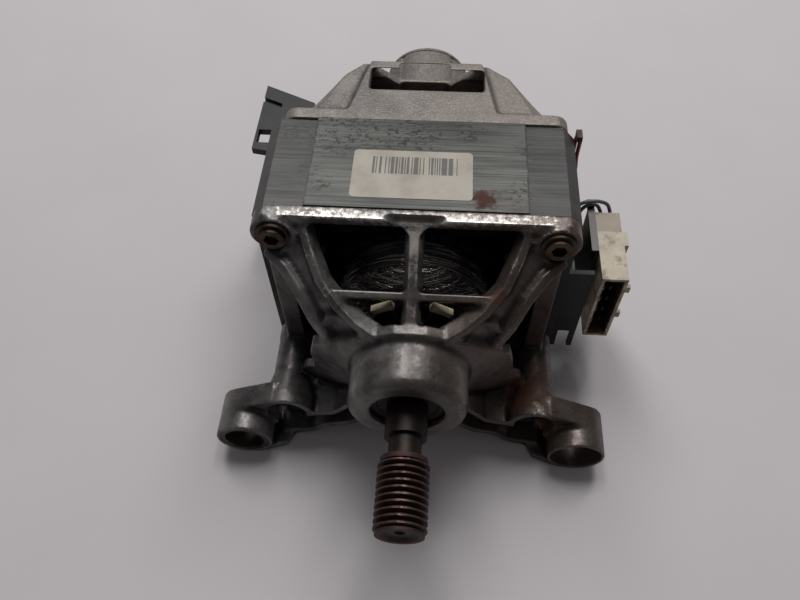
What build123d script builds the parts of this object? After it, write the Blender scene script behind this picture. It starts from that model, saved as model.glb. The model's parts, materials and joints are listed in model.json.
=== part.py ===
from build123d import *
import math
import os

# Belt band on the shaft. Its middle on the shaft axis is the origin, and the motor runs back along +Y.
rib_pitch = 2.34
rib_count = 10
pulley_radius = 9.05
rib_depth = 2.0
rib_crest_width = 0.6
rib_root_width = 0.4
pulley_front_land = 0.9
pulley_rear_land = 1.7
pulley_land_radius = 8.3
pulley_end_recess = 1.2
pulley_end_recess_radius = 6.6

# Distances along the shaft, each from the piece in front of it.
hub_gap = 18.85
shield_depth = 56.85
stack_length = 45.0
rear_flange_depth = 5.8
boss_length = 40.8

# Shaft.
pulley_seat_radius = 5.0
neck_radius = 5.75
collar_radius = 7.5
collar_stand_off = 9.2
core_seat_radius = 8.5
rear_seat_radius = 6.0
magnet_seat_radius = 4.0
centre_drill_radius = 2.0
centre_drill_depth = 4.0
press_gap = 0.01
running_gap = 0.05

# Ball bearings.
front_bearing_section = 10.0
front_bearing_width = 11.0
front_ball_radius = 2.9
rear_bearing_section = 10.0
rear_bearing_width = 10.0
rear_ball_radius = 2.5
ball_count = 8
bearing_seal_thickness = 0.6
bearing_seal_gap = 0.3
race_shoulder_share = 0.5
wave_washer_thickness = 0.5
wave_washer_width = 3.3

# Stator stack.
yoke_width = 15.6
yoke_height = 13.0
stator_pad_rise = 1.4
stator_pad_inset = 19.4
stator_chamfer_x = 4.9
stator_chamfer_z = 5.5
rotor_radius = 32.0
air_gap = 0.5
pole_shoe_thickness = 3.4
pole_half_height = 17.6
coil_slot_height = 13.4
coil_slot_width = 20.4
slot_tip_inset = 9.0
slot_mouth_width = 7.0

# Field coils and their moulded bobbins.
bobbin_wall = 1.0
bobbin_gap = 0.1
coil_stand_off = 0.6
coil_side_gap = 1.8
coil_build = 10.4
coil_overhang = 12.5
coil_corner_radius = 10.0
bobbin_inset = 1.6
coil_clearance = 0.7

# Armature.
slot_count = 24
slot_width = 3.2
slot_floor_inset = 12.0
slot_roof_inset = 3.4
slot_mouth = 1.8
slot_bar_gap = 0.15
overhang_front = 20.0
overhang_rear = 11.5
overhang_inset = 3.0
overhang_root_wall = 2.5
wire_radius = 0.58
wire_turns = 18
wire_rest_gap = 0.08
winding_clearance = 1.2
insulator_inset = 6.4
insulator_stand_off = 2.6
insulator_petal_depth = 3.2
insulator_petal_width = 8.4
insulator_thickness = 2.6
insulator_sleeve_wall = 2.1
insulator_spokes = 6
insulator_spoke_width = 2.6

# Commutator.
bar_radius = 18.5
bar_depth = 5.9
bar_length = 17.5
bar_gap_degrees = 1.6
riser_height = 1.9
riser_length = 2.4
commutator_gap = 1.5
commutator_hub_overrun = 0.6
commutator_back_gap = 1.4

# Brush gear, on a level axis through the middle of the commutator.
brush_width = 12.3
brush_height = 5.2
brush_length = 26.0
brush_lift = 0.08
tube_wall = 0.8
tube_play = 0.1
tube_start_gap = 2.2
tube_reach = 7.0
tube_cap = 1.0
spring_radius = 2.1
holder_wall = 2.6
holder_start_gap = 5.6
holder_end_wall = 1.2
holder_plate_x = 2.6
holder_plate_half_y = 15.0
holder_plate_half_z = 12.0
holder_screw_offset_z = 9.2
holder_screw_radius = 1.9
holder_screw_head_radius = 2.7
holder_screw_head = 2.0
holder_screw_grip = 4.0
holder_seat_depth = 4.5
holder_pocket_depth = 7.8
holder_seat_margin = 0.4

# Front shield: rim, corner bosses and side legs.
rim_inset = 5.0
rim_rise = 1.0
rim_corner_radius = 5.5
rim_wall = 4.0
rim_depth = 5.0
notch_half_width = 13.0
notch_depth = 2.6
screw_inset_x = 3.4
screw_inset_z = 8.3
corner_boss_radius = 8.2
corner_boss_depth = 7.0
leg_inset = 0.4
leg_width = 7.2
leg_depth = 9.0

# Front shield: hub, bell and window frame.
hub_wall = 4.2
hub_length = 19.5
hub_edge_radius = 3.6
hub_lip_width = 4.0
hub_lip_thickness = 2.8
bell_radius = 38.5
bell_thickness = 4.2
bell_skirt_radius = 56.0
bell_set_back = 15.85
bell_depth = 9.5
post_width = 3.2
post_root_width = 7.6
post_thickness = 6.5
cross_rib_thickness = 2.8
cross_rib_depth = 5.5
arm_rib_half_width = 1.7
arm_channel_depth = 3.0
arm_thickness = 6.6
arm_bump_radius = 3.4
arm_bump_drop = 0.75
arm_bump_sink = 2.25

# Front shield: lower arms and ears.
arm_set_back = 15.35
arm_depth = 13.5
arm_wall = 3.2
tunnel_radius = 10.6
tunnel_bore = 8.0
tunnel_rear_radius = 7.9
tunnel_rear_bore = 6.8
tunnel_mouth_length = 5.0
tunnel_flare_length = 12.0
skirt_thickness = 3.4
skirt_clear = 0.2
ear_reach = 14.3
ear_drop = 0.5
ear_radius = 11.5
ear_bore = 10.1
ear_set_back = 6.35
ear_web_degrees = 25.0
ear_web_leg_gap = 2.0
ear_length = 18.6
bush_bore = 8.1
bush_inset = 0.4

# Rear shield.
rear_wall = 3.4
dome_inset_x = 1.0
dome_right_extra = 2.6
dome_inset_z = 1.5
rear_window_half_width = 23.0
rear_window_shift = 1.2
rear_window_bay = 3.4
rear_window_start = 18.0
rear_window_length = 13.0
dip_half_width = 10.5
dip_top_half_width = 24.0
dip_depth = 8.0
boss_wall = 3.5
boss_chamber_step = 1.0
bearing_stop_width = 3.0
bearing_stop_thickness = 2.0
rear_bearing_inset = 1.5
back_wall = 4.0
boss_groove = 0.9
boss_groove_angle = 37.0
side_window_half_y = 12.5
side_window_half_z = 7.6
rear_vent_half_width = 11.0
rear_vent_half_height = 5.0
rear_vent_drop = 31.0
rear_ear_bore = 8.1
rear_ear_front = 12.0
rear_ear_length = 22.0
rear_ear_web = 12.0

# Long screws that hold the two shields to the stack.
screw_radius = 2.5
screw_clearance = 0.3
washer_radius = 6.4
washer_thickness = 1.3
head_radius = 4.8
head_height = 1.5
socket_radius = 2.9
socket_depth = 2.6
screw_bite = 6.0
spot_face_margin = 0.4
spot_face_length = 5.5

# Speed sensor in the rear boss.
magnet_radius = 11.0
magnet_length = 13.0
magnet_gap = 3.5
sensor_air_gap = 1.4
sensor_length = 16.0
sensor_gap = 0.1
cover_thickness = 1.4
cover_spigot_depth = 3.0
cover_spigot_wall = 1.4

# Terminal block on the right side.
carrier_wall = 2.0
carrier_gap = 0.02
carrier_front = 2.0
carrier_length = 36.0
carrier_low = -32.0
carrier_high = 9.0
carrier_front_reach = 10.4
carrier_duct_reach = 8.4
carrier_duct_drop = 5.5
carrier_tail_length = 12.6
carrier_tail_head = 5.2
carrier_tail_reach = 5.0
carrier_tail_top = 17.0
carrier_tail_height = 14.0
prong_drop = 12.0
prong_width = 3.0
prong_thin_width = 2.0
nub_width = 4.0
nub_height = 6.0
nub_rise = 14.5
nub_reach = 3.4
bracket_sheet = 1.2
bracket_gap = 0.3
bracket_start = 13.0
bracket_length = 27.0
bracket_flange = 2.8
bracket_low = -28.0
bracket_foot_reach = 8.6
bracket_foot_length = 14.0
socket_stand_off = 13.2
socket_width = 10.2
socket_height = 40.5
socket_high = 9.0
socket_depth_y = 17.0
socket_wall = 1.3
socket_floor = 1.8
pin_rows = 5
pin_columns = 2
pin_blade = 0.8
pin_blade_height = 2.6
pin_length = 11.0
collar_width = 11.9
collar_length = 7.0
plug_width = 9.9
plug_length = 10.0
plug_height = 39.0
latch_size = 1.7
latch_shares = (0.12, 0.55)
latch_height = 3.4

# Leads. Each route is in millimetres from the origin.
lead_radius_share = 0.45
grey_lead_radius = 0.75
red_lead_radius = 0.8
splice_radius = 1.1
splice_length = 2.5

# Lead guide on the left of the rear shield.
guide_top = 25.0
guide_thickness = 3.0
guide_lip_low = 13.5
guide_wall = 2.4
guide_gap = 0.3
guide_reach = 16.6
guide_length = 41.5

# Rating label, bare of text.
label_width = 43.7
label_length = 23.5
label_thickness = 0.15
label_x = -2.1
label_front = 4.5
label_corner = 1.6

overrun = 1.0
quarter = 90.0
circle_degrees = 360.0

# Places along the shaft.
belt_half = rib_pitch * rib_count / 2
hub_y = belt_half + hub_gap
front_y = hub_y + shield_depth
rear_y = front_y + stack_length
commutator_y = rear_y + overhang_rear + commutator_gap
brush_y = commutator_y + riser_length + (bar_length - riser_length) / 2
dome_y = commutator_y + bar_length + commutator_hub_overrun + commutator_back_gap + back_wall
dome_depth = dome_y - rear_y
boss_y = dome_y + boss_length
rear_bearing_y = dome_y + rear_bearing_inset
front_bearing_y = hub_y + hub_lip_thickness + wave_washer_thickness
bearing_clear_y = rear_bearing_y + rear_bearing_width + bearing_stop_thickness
bell_front = shield_depth - bell_set_back
arm_front = shield_depth - arm_set_back
arm_back = arm_front - arm_depth
ear_front = shield_depth - ear_set_back

# Radii, from the shaft outwards.
front_bearing_radius = collar_radius + front_bearing_section
rear_bearing_radius = rear_seat_radius + rear_bearing_section
wave_washer_inner_radius = front_bearing_radius - wave_washer_width
hub_radius = front_bearing_radius + hub_wall
hub_lip_radius = front_bearing_radius - hub_lip_width
boss_radius = rear_bearing_radius + boss_wall
boss_chamber_radius = rear_bearing_radius + boss_chamber_step
bearing_stop_radius = rear_bearing_radius - bearing_stop_width
sensor_inner_radius = magnet_radius + sensor_air_gap
slot_floor_radius = rotor_radius - slot_floor_inset
slot_roof_radius = rotor_radius - slot_roof_inset
overhang_radius = rotor_radius - overhang_inset
overhang_root_radius = core_seat_radius + overhang_root_wall
insulator_radius = overhang_radius - insulator_inset
insulator_sleeve_radius = core_seat_radius + insulator_sleeve_wall
bar_inner_radius = bar_radius - bar_depth
riser_radius = bar_radius + riser_height

# Widths and heights, from the rotor outwards.
coil_slot_inner_x = rotor_radius - slot_tip_inset
coil_slot_outer_x = coil_slot_inner_x + coil_slot_width
coil_inner_x = rotor_radius + coil_stand_off
coil_outer_x = coil_slot_outer_x - coil_side_gap
stator_half_width = coil_slot_outer_x + yoke_width
stator_half_height = pole_half_height + coil_slot_height + yoke_height
stator_top = stator_half_height + stator_pad_rise
stator_pad_half_width = stator_half_width - stator_pad_inset
rim_half_width = stator_half_width - rim_inset
rim_half_height = stator_half_height + rim_rise
screw_x = rim_half_width - screw_inset_x
screw_z = rim_half_height - screw_inset_z
leg_outer_x = rim_half_width - leg_inset
leg_inner_x = leg_outer_x - leg_width
ear_x = rim_half_width + ear_reach
ear_z = -rim_half_height - ear_drop
dome_half_width = rim_half_width - dome_inset_x
dome_half_height = rim_half_height - dome_inset_z
tube_end_x = dome_half_width + tube_reach
holder_start_x = riser_radius + holder_start_gap
holder_end_x = tube_end_x + holder_end_wall
socket_x = stator_half_width + socket_stand_off
tube_half_y = brush_width / 2 + tube_play + tube_wall
tube_half_z = brush_height / 2 + tube_play + tube_wall


def bar_y(radius, y0, y1, x=0, z=0):
    """Round bar along Y."""
    return Pos(x, (y0 + y1) / 2, z) * Rot(quarter, 0, 0) * Cylinder(radius, y1 - y0)


def ring_y(outer, inner, y0, y1, x=0, z=0):
    """Round tube along Y."""
    return bar_y(outer, y0, y1, x, z) - bar_y(inner, y0 - overrun, y1 + overrun, x, z)


def block(x0, x1, y0, y1, z0, z1):
    """Plain block between two corners."""
    middle = Pos((x0 + x1) / 2, (y0 + y1) / 2, (z0 + z1) / 2)
    return middle * Box(x1 - x0, y1 - y0, z1 - z0)


def polygon(points):
    """Flat face inside a closed outline of points in space."""
    return make_face(Polyline(*points, close=True))


def slab_y(outline, y0, y1):
    """Outline of (x, z) points carried along Y."""
    return extrude(polygon([(x, y0, z) for x, z in outline]), amount=y1 - y0, dir=(0, 1, 0))


def slab_z(outline, z0, z1):
    """Outline of (x, y) points carried along Z."""
    return extrude(polygon([(x, y, z0) for x, y in outline]), amount=z1 - z0, dir=(0, 0, 1))


def slab_x(outline, x0, x1):
    """Outline of (y, z) points carried along X."""
    return extrude(polygon([(x0, y, z) for y, z in outline]), amount=x1 - x0, dir=(1, 0, 0))


def turned(outline):
    """Outline of (radius, y) points turned round the shaft axis."""
    return revolve(polygon([(radius, y, 0) for radius, y in outline]), Axis.Y)


def rounded_slab_y(half_width, half_height, corner, y0, y1):
    """Rectangle with round corners, centred on the shaft axis and carried along Y."""
    plane = Plane(origin=(0, y1, 0), x_dir=(1, 0, 0), z_dir=(0, -1, 0))
    face = plane * RectangleRounded(2 * half_width, 2 * half_height, corner)
    return extrude(face, amount=y1 - y0)


def spun(solid, degrees):
    """Solid turned about the shaft axis."""
    return Rot(0, degrees, 0) * solid


def mirrored(outline, side):
    """Outline of (x, z) or (x, y) points on the right, or its mirror on the left."""
    return [(side * x, other) for x, other in outline]


def on_side(solid, side):
    """Solid made for the right side, or its mirror for the left."""
    if side > 0:
        return solid
    return mirror(solid, Plane.YZ)


def pulley():
    """Sleeve with V ribs, pressed on the shaft end."""
    bore = pulley_seat_radius + press_gap
    root = pulley_radius - rib_depth
    rear = belt_half + pulley_rear_land
    front = -belt_half - pulley_front_land
    outline = [(bore, rear), (pulley_land_radius, rear), (pulley_land_radius, belt_half)]
    for index in range(rib_count):
        middle = belt_half - rib_pitch * (index + 1 / 2)
        outline.append((root, middle + (rib_pitch - rib_root_width / 2) / 2))
        outline.append((pulley_radius, middle + rib_crest_width / 2))
        outline.append((pulley_radius, middle - rib_crest_width / 2))
        outline.append((root, middle - (rib_pitch - rib_root_width / 2) / 2))
    outline.append((pulley_land_radius, -belt_half))
    outline.append((pulley_land_radius, front))
    outline.append((pulley_end_recess_radius, front))
    outline.append((bore, front + pulley_end_recess))
    return turned(outline)


def rotor_shaft():
    """Stepped shaft from the pulley to the speed sensor's magnet."""
    front = -belt_half - pulley_front_land + pulley_end_recess
    neck_start = belt_half + pulley_rear_land
    collar_start = hub_y - collar_stand_off
    collar_end = front_bearing_y + front_bearing_width
    magnet_seat = bearing_clear_y
    end = magnet_seat + magnet_gap + magnet_length + bearing_stop_thickness
    outline = [
        (0, front + centre_drill_depth),
        (centre_drill_radius, front),
        (pulley_seat_radius, front),
        (pulley_seat_radius, neck_start),
        (neck_radius, neck_start),
        (neck_radius, collar_start),
        (collar_radius, collar_start),
        (collar_radius, collar_end),
        (core_seat_radius, collar_end),
        (core_seat_radius, rear_bearing_y),
        (rear_seat_radius, rear_bearing_y),
        (rear_seat_radius, magnet_seat),
        (magnet_seat_radius, magnet_seat),
        (magnet_seat_radius, end),
        (0, end),
    ]
    return turned(outline)


def bearing_pitch(bore, outer):
    """Radius of the circle through the ball centres."""
    return (bore + outer) / 2


def ball_track(pitch, ball, y):
    """Groove that the balls run in."""
    return Pos(0, y, 0) * Rot(quarter, 0, 0) * Torus(pitch, ball + running_gap)


def bearing_outer(bore, outer, width, ball, y):
    """Outer ring with its groove."""
    pitch = bearing_pitch(bore, outer)
    ring = ring_y(outer - press_gap, pitch + ball * race_shoulder_share, y, y + width)
    return ring - ball_track(pitch, ball, y + width / 2)


def bearing_inner(bore, outer, width, ball, y):
    """Inner ring with its groove."""
    pitch = bearing_pitch(bore, outer)
    ring = ring_y(pitch - ball * race_shoulder_share, bore + press_gap, y, y + width)
    return ring - ball_track(pitch, ball, y + width / 2)


def bearing_balls(bore, outer, width, ball, y):
    """Balls, evenly spaced round the shaft."""
    pitch = bearing_pitch(bore, outer)
    balls = []
    for index in range(ball_count):
        angle = circle_degrees * index / ball_count
        balls.append(spun(Pos(pitch, y + width / 2, 0) * Sphere(ball), angle))
    return Compound(children=balls)


def bearing_seals(bore, outer, width, ball, y):
    """Two thin discs that close the bearing, fixed in the outer ring."""
    pitch = bearing_pitch(bore, outer)
    rim = pitch + ball * race_shoulder_share - press_gap
    lip = pitch - ball * race_shoulder_share + bearing_seal_gap
    near = ring_y(rim, lip, y, y + bearing_seal_thickness)
    far = ring_y(rim, lip, y + width - bearing_seal_thickness, y + width)
    return Compound(children=[near, far])


def wave_washer():
    """Spring washer between the hub's lip and the front bearing."""
    y = hub_y + hub_lip_thickness
    outer = front_bearing_radius - bearing_seal_gap
    return ring_y(outer, wave_washer_inner_radius, y + press_gap, y + wave_washer_thickness - press_gap)


def rotor_core():
    """Slotted lamination stack on the shaft."""
    core = ring_y(rotor_radius, core_seat_radius + press_gap, front_y, rear_y)
    y0 = front_y - overrun
    y1 = rear_y + overrun
    half = slot_width / 2
    mouth = slot_mouth / 2
    slot = block(slot_floor_radius, slot_roof_radius, y0, y1, -half, half)
    slot += block(slot_roof_radius - overrun, rotor_radius + overrun, y0, y1, -mouth, mouth)
    for index in range(slot_count):
        core -= spun(slot, circle_degrees * index / slot_count)
    return core


overhang_profile_shares = [(1.0, 0.1), (1.0, 0.36), (0.94, 0.62), (0.81, 0.84), (0.58, 0.97)]


def overhang_profile(depth):
    """Points (radius, distance from the core) down the outside of an armature overhang."""
    profile = [(overhang_radius * share, depth * along) for share, along in overhang_profile_shares]
    return profile + [(overhang_root_radius, depth)]


def armature_coils():
    """Wound copper in the slots, with a plain domed overhang at each end of the core."""
    gap = slot_bar_gap
    half = slot_width / 2 - gap
    front = [(overhang_root_radius, front_y - gap), (overhang_radius, front_y - gap)]
    front += [(radius, front_y - depth) for radius, depth in overhang_profile(overhang_front)]
    rear = [(overhang_root_radius, rear_y + gap), (overhang_radius, rear_y + gap)]
    rear += [(radius, rear_y + depth) for radius, depth in overhang_profile(overhang_rear)]
    coils = turned(front) + turned(rear)
    inner = slot_floor_radius + gap
    outer = slot_roof_radius - gap
    bar = block(inner, outer, front_y - overrun, rear_y + overrun, -half, half)
    for index in range(slot_count):
        coils += spun(bar, circle_degrees * index / slot_count)
    return coils


def profile_point(profile, share):
    """Point at a share of the whole length of a profile."""
    lengths = [math.dist(profile[i], profile[i + 1]) for i in range(len(profile) - 1)]
    left = share * sum(lengths)
    for index, length in enumerate(lengths):
        if left <= length or index == len(lengths) - 1:
            start = profile[index]
            end = profile[index + 1]
            part = left / length
            return (start[0] + (end[0] - start[0]) * part, start[1] + (end[1] - start[1]) * part)
        left -= length
    return profile[-1]


def wire_point(turn):
    """Place of the wire after a number of turns round the front overhang."""
    clear = wire_radius + wire_rest_gap
    profile = [(radius + clear, depth + clear) for radius, depth in overhang_profile(overhang_front)]
    radius, depth = profile_point(profile, turn / wire_turns)
    angle = math.radians(circle_degrees * turn)
    return Vector(radius * math.cos(angle), front_y - depth, radius * math.sin(angle))


def wire_heading(turn):
    """Unit vector along the wire after a number of turns."""
    step = 1 / circle_degrees
    before = wire_point(max(turn - step, 0))
    after = wire_point(min(turn + step, wire_turns))
    return (after - before).normalized()


def double_arc(p0, t0, p1, t1):
    """Two arcs that join two points with given headings, tangent where they meet."""
    chord = p1 - p0
    heads = t0 + t1
    a = 2 * (1 - t0.dot(t1))
    b = 2 * chord.dot(heads)
    c = -chord.dot(chord)
    reach = (-b + math.sqrt(b * b - 4 * a * c)) / (2 * a)
    middle = ((p0 + t0 * reach) + (p1 - t1 * reach)) / 2
    first = Edge.make_tangent_arc(p0, t0, middle)
    second = Edge.make_tangent_arc(middle, first % 1, p1)
    return [first, second]


def armature_wires():
    """Outer layer of the front overhang: one unbroken wire in a steady spiral."""
    steps_per_turn = 4
    edges = []
    for index in range(wire_turns * steps_per_turn):
        start = index / steps_per_turn
        end = (index + 1) / steps_per_turn
        edges += double_arc(wire_point(start), wire_heading(start), wire_point(end), wire_heading(end))
    path = Wire(edges)
    section = Plane(origin=path @ 0, z_dir=path % 0) * Circle(wire_radius)
    return sweep(section, path=path)


def wire_least_gap():
    """Least gap between neighbouring turns of the wire, measured on points."""
    points_per_turn = 72
    least = wire_radius * circle_degrees
    for index in range((wire_turns - 1) * points_per_turn):
        here = wire_point(index / points_per_turn)
        beyond = wire_point(index / points_per_turn + 1)
        least = min(least, (beyond - here).length - 2 * wire_radius)
    return least


def armature_insulator():
    """Moulded star in front of the windings, on a sleeve round the shaft."""
    front = front_y - overhang_front - insulator_stand_off - insulator_thickness
    back = front + insulator_thickness
    inner = insulator_radius - insulator_petal_depth
    half = insulator_spoke_width / 2
    petal = insulator_petal_width / 2
    spoke = block(insulator_sleeve_radius - overrun, inner + overrun, front, back, -half, half)
    spoke += block(inner, insulator_radius, front, back, -petal, petal)
    star = ring_y(insulator_sleeve_radius, core_seat_radius + press_gap, front, front_y - slot_bar_gap)
    for index in range(insulator_spokes):
        star += spun(spoke, circle_degrees * index / insulator_spokes)
    return star


def commutator_bars():
    """Copper segments with risers, a thin gap between each and the next."""
    sweep_angle = circle_degrees / slot_count - bar_gap_degrees
    y0 = commutator_y
    outline = [
        (bar_inner_radius, y0),
        (riser_radius, y0),
        (riser_radius, y0 + riser_length),
        (bar_radius, y0 + riser_length),
        (bar_radius, y0 + bar_length),
        (bar_inner_radius, y0 + bar_length),
    ]
    face = polygon([(radius, y, 0) for radius, y in outline])
    segment = revolve(face, Axis.Y, revolution_arc=sweep_angle)
    bars = []
    for index in range(slot_count):
        bars.append(spun(segment, circle_degrees * index / slot_count))
    return Compound(children=bars)


def commutator_hub():
    """Moulded sleeve that carries the copper segments."""
    y0 = commutator_y - commutator_hub_overrun
    y1 = commutator_y + bar_length + commutator_hub_overrun
    return ring_y(bar_inner_radius - press_gap, core_seat_radius + press_gap, y0, y1)


def tacho_magnet():
    """Ring magnet on the rear end of the shaft."""
    y0 = bearing_clear_y + magnet_gap
    return ring_y(magnet_radius, magnet_seat_radius + press_gap, y0, y0 + magnet_length)


def tacho_coil():
    """Pick up coil round the magnet, seated in the rear boss."""
    y0 = bearing_clear_y + sensor_gap
    return ring_y(boss_chamber_radius - sensor_gap, sensor_inner_radius, y0, y0 + sensor_length)


def tacho_cover():
    """Cap on the rear boss."""
    cap = bar_y(boss_radius, boss_y, boss_y + cover_thickness)
    outer = boss_chamber_radius - sensor_gap
    cap += ring_y(outer, outer - cover_spigot_wall, boss_y - cover_spigot_depth, boss_y + overrun)
    return cap


def stator_core():
    """Lamination stack: two poles left and right, coil slots above and below each pole."""
    w = stator_half_width
    h = stator_half_height
    cx = w - stator_chamfer_x
    cz = h - stator_chamfer_z
    p = stator_pad_half_width
    top = stator_top
    outline = [(-p, h), (-p, top), (p, top), (p, h), (cx, h), (w, cz), (w, -cz), (cx, -h), (-cx, -h)]
    outline += [(-w, -cz), (-w, cz), (-cx, h)]
    core = slab_y(outline, front_y, rear_y)
    bore = rotor_radius + air_gap
    y0 = front_y - overrun
    y1 = rear_y + overrun
    low = pole_half_height
    high = pole_half_height + coil_slot_height
    slots = block(coil_slot_inner_x, coil_slot_outer_x, y0, y1, low, high)
    slots -= bar_y(bore + pole_shoe_thickness, y0, y1)
    mouth_x = coil_slot_inner_x - slot_mouth_width
    slots += block(mouth_x, coil_slot_inner_x + overrun, y0, y1, high - slot_mouth_width, high)
    slots += mirror(slots, Plane.XY)
    core -= slots
    core -= mirror(slots, Plane.YZ)
    core -= bar_y(bore, y0, y1)
    hole = screw_radius + screw_clearance
    for x, z in screw_places():
        core -= bar_y(hole, y0, y1, x, z)
    return core


def screw_places():
    """Centres of the four long screws."""
    return [(sx * screw_x, sz * screw_z) for sx in (-1, 1) for sz in (-1, 1)]


def racetrack(half_y, half_z, corner, x0, x1):
    """Rounded block round the middle of the stack, with its faces square to X."""
    middle = (front_y + rear_y) / 2
    plane = Plane(origin=(x0, middle, 0), x_dir=(0, 1, 0), z_dir=(1, 0, 0))
    return extrude(plane * RectangleRounded(2 * half_y, 2 * half_z, corner), amount=x1 - x0)


def field_coil(side):
    """Copper coil round one pole, made on the right and mirrored."""
    inner_z = pole_half_height + bobbin_wall + 2 * bobbin_gap
    inner_y = stack_length / 2 + bobbin_inset + bobbin_wall + bobbin_gap
    outer_z = inner_z + coil_build
    outer_y = stack_length / 2 + coil_overhang
    x1 = coil_outer_x
    coil = racetrack(outer_y, outer_z, coil_corner_radius, coil_inner_x, x1)
    coil -= racetrack(inner_y, inner_z, bobbin_wall, coil_inner_x - overrun, x1 + overrun)
    return on_side(coil, side)


def coil_bobbin(side):
    """Moulded sleeve between a pole and its coil."""
    inner_z = pole_half_height + bobbin_gap
    inner_y = stack_length / 2 + bobbin_inset
    x1 = coil_outer_x
    sleeve = racetrack(inner_y + bobbin_wall, inner_z + bobbin_wall, bobbin_wall, coil_inner_x, x1)
    sleeve -= racetrack(inner_y, inner_z, bobbin_wall / 2, coil_inner_x - overrun, x1 + overrun)
    return on_side(sleeve, side)


# Shield arm from corner to hub: (x, forward of the stack, z) as shares of the rim, for its two ribs.
inner_rib_shares = [
    (0.76, 0.06, 0.925),
    (0.69, 0.23, 0.80),
    (0.61, 0.39, 0.675),
    (0.48, 0.53, 0.565),
    (0.36, 0.62, 0.495),
    (0.23, 0.685, 0.435),
]
outer_rib_shares = [
    (1.0, 0.16, 0.67),
    (0.88, 0.265, 0.62),
    (0.77, 0.395, 0.53),
    (0.675, 0.51, 0.35),
    (0.565, 0.59, 0.155),
    (0.37, 0.66, 0.135),
]
bell_lobe_shares = [
    (0.0, 0.62),
    (0.15, 0.61),
    (0.33, 0.55),
    (0.55, 0.42),
    (0.79, 0.23),
    (0.95, 0.12),
    (1.0, -0.1),
    (0.99, -0.3),
    (1.0, -0.44),
    (1.10, -0.56),
    (1.16, -0.70),
    (1.13, -0.90),
    (0.88, -0.96),
    (0.7, -1.02),
    (0.0, -1.02),
]
lower_arm_top_shares = [(0.27, -0.33), (0.355, -0.445), (0.47, -0.59), (0.575, -0.735)]
lower_arm_low_shares = [
    (0.9, -0.83),
    (1.0, -0.86),
    (1.0, -1.25),
    (0.845, -1.23),
    (0.75, -1.18),
    (0.65, -1.07),
    (0.49, -1.02),
    (0.37, -0.91),
    (0.27, -0.82),
]
pocket_shares = [
    (0.38, -0.545),
    (0.461, -0.658),
    (0.565, -0.795),
    (0.60, -0.81),
    (0.80, -0.865),
    (0.937, -0.815),
    (1.07, -0.90),
    (1.02, -1.02),
    (1.0, -1.165),
    (0.85, -1.155),
    (0.76, -1.11),
    (0.67, -1.007),
    (0.50, -0.95),
    (0.39, -0.855),
]


def in_space(share, side):
    """Place of a shield point given as shares of the rim's half width, shield's depth and half height."""
    x, forward, z = share
    return Vector(side * x * rim_half_width, front_y - forward * shield_depth, z * rim_half_height)


def arm_section(inner, outer, along):
    """Channel section between the crests of two ribs."""
    across = (outer - inner).normalized()
    normal = across.cross(along).normalized()
    if normal.Y > 0:
        normal = normal * -1
    width = (outer - inner).length
    rib = arm_rib_half_width
    slope = arm_channel_depth / 2
    outline = [
        (-rib, -arm_thickness),
        (-rib, 0),
        (rib, 0),
        (rib + slope, -arm_channel_depth),
        (width - rib - slope, -arm_channel_depth),
        (width - rib, 0),
        (width + rib, 0),
        (width + rib, -arm_thickness),
    ]
    return polygon([inner + across * u + normal * v for u, v in outline])


def diagonal_arm(side):
    """Channel arm from a top corner down to the hub, with a round pad in it."""
    inner = [in_space(share, side) for share in inner_rib_shares]
    outer = [in_space(share, side) for share in outer_rib_shares]
    middles = [(a + b) / 2 for a, b in zip(inner, outer)]
    sections = []
    last = len(inner) - 1
    for index in range(len(inner)):
        along = (middles[min(index + 1, last)] - middles[max(index - 1, 0)]).normalized()
        sections.append(arm_section(inner[index], outer[index], along))
    arm = loft(sections, ruled=True)
    centre = (inner[3] + outer[3] + inner[4] + outer[4]) / 4
    bump_z = centre.Z - arm_bump_drop
    bump_y = centre.Y + arm_bump_sink
    bump = bar_y(arm_bump_radius, bump_y, bump_y + arm_thickness, centre.X, bump_z)
    return arm + bump


def scaled(shares, side):
    """Outline of (x, z) points from shares of the rim's half width and half height."""
    return [(side * x * rim_half_width, z * rim_half_height) for x, z in shares]


def bell():
    """Shallow cone round the hub, cut to its two lobes."""
    inner = hub_radius - bell_thickness
    slope = bell_depth / (bell_radius - inner)
    near = front_y - bell_front
    far = near + slope * (bell_skirt_radius - inner)
    outline = [
        (inner, near),
        (bell_skirt_radius, far),
        (bell_skirt_radius, far + bell_thickness),
        (inner, near + bell_thickness),
    ]
    lobes = [(x * bell_radius, z * bell_radius) for x, z in bell_lobe_shares]
    lobes += [(-x, z) for x, z in reversed(lobes[1:-1])]
    return turned(outline) & slab_y(lobes, hub_y, front_y)


def rib_between(start, end, width, root_width, thickness, back):
    """Drafted rib between two points: narrow at its front edge and wider at its root."""
    along = (end - start).normalized()
    across = along.cross(back).normalized()
    deep = back * thickness
    sections = []
    for point in (start, end):
        outline = [
            point - across * (width / 2),
            point + across * (width / 2),
            point + across * (root_width / 2) + deep,
            point - across * (root_width / 2) + deep,
        ]
        sections.append(polygon(outline))
    return loft(sections, ruled=True)


window_frame_shares = {"top": (0.0, 0.04, 0.955), "rib": (0.57, 0.445, 0.625), "foot": (0.0, 0.70, 0.45)}


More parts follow.
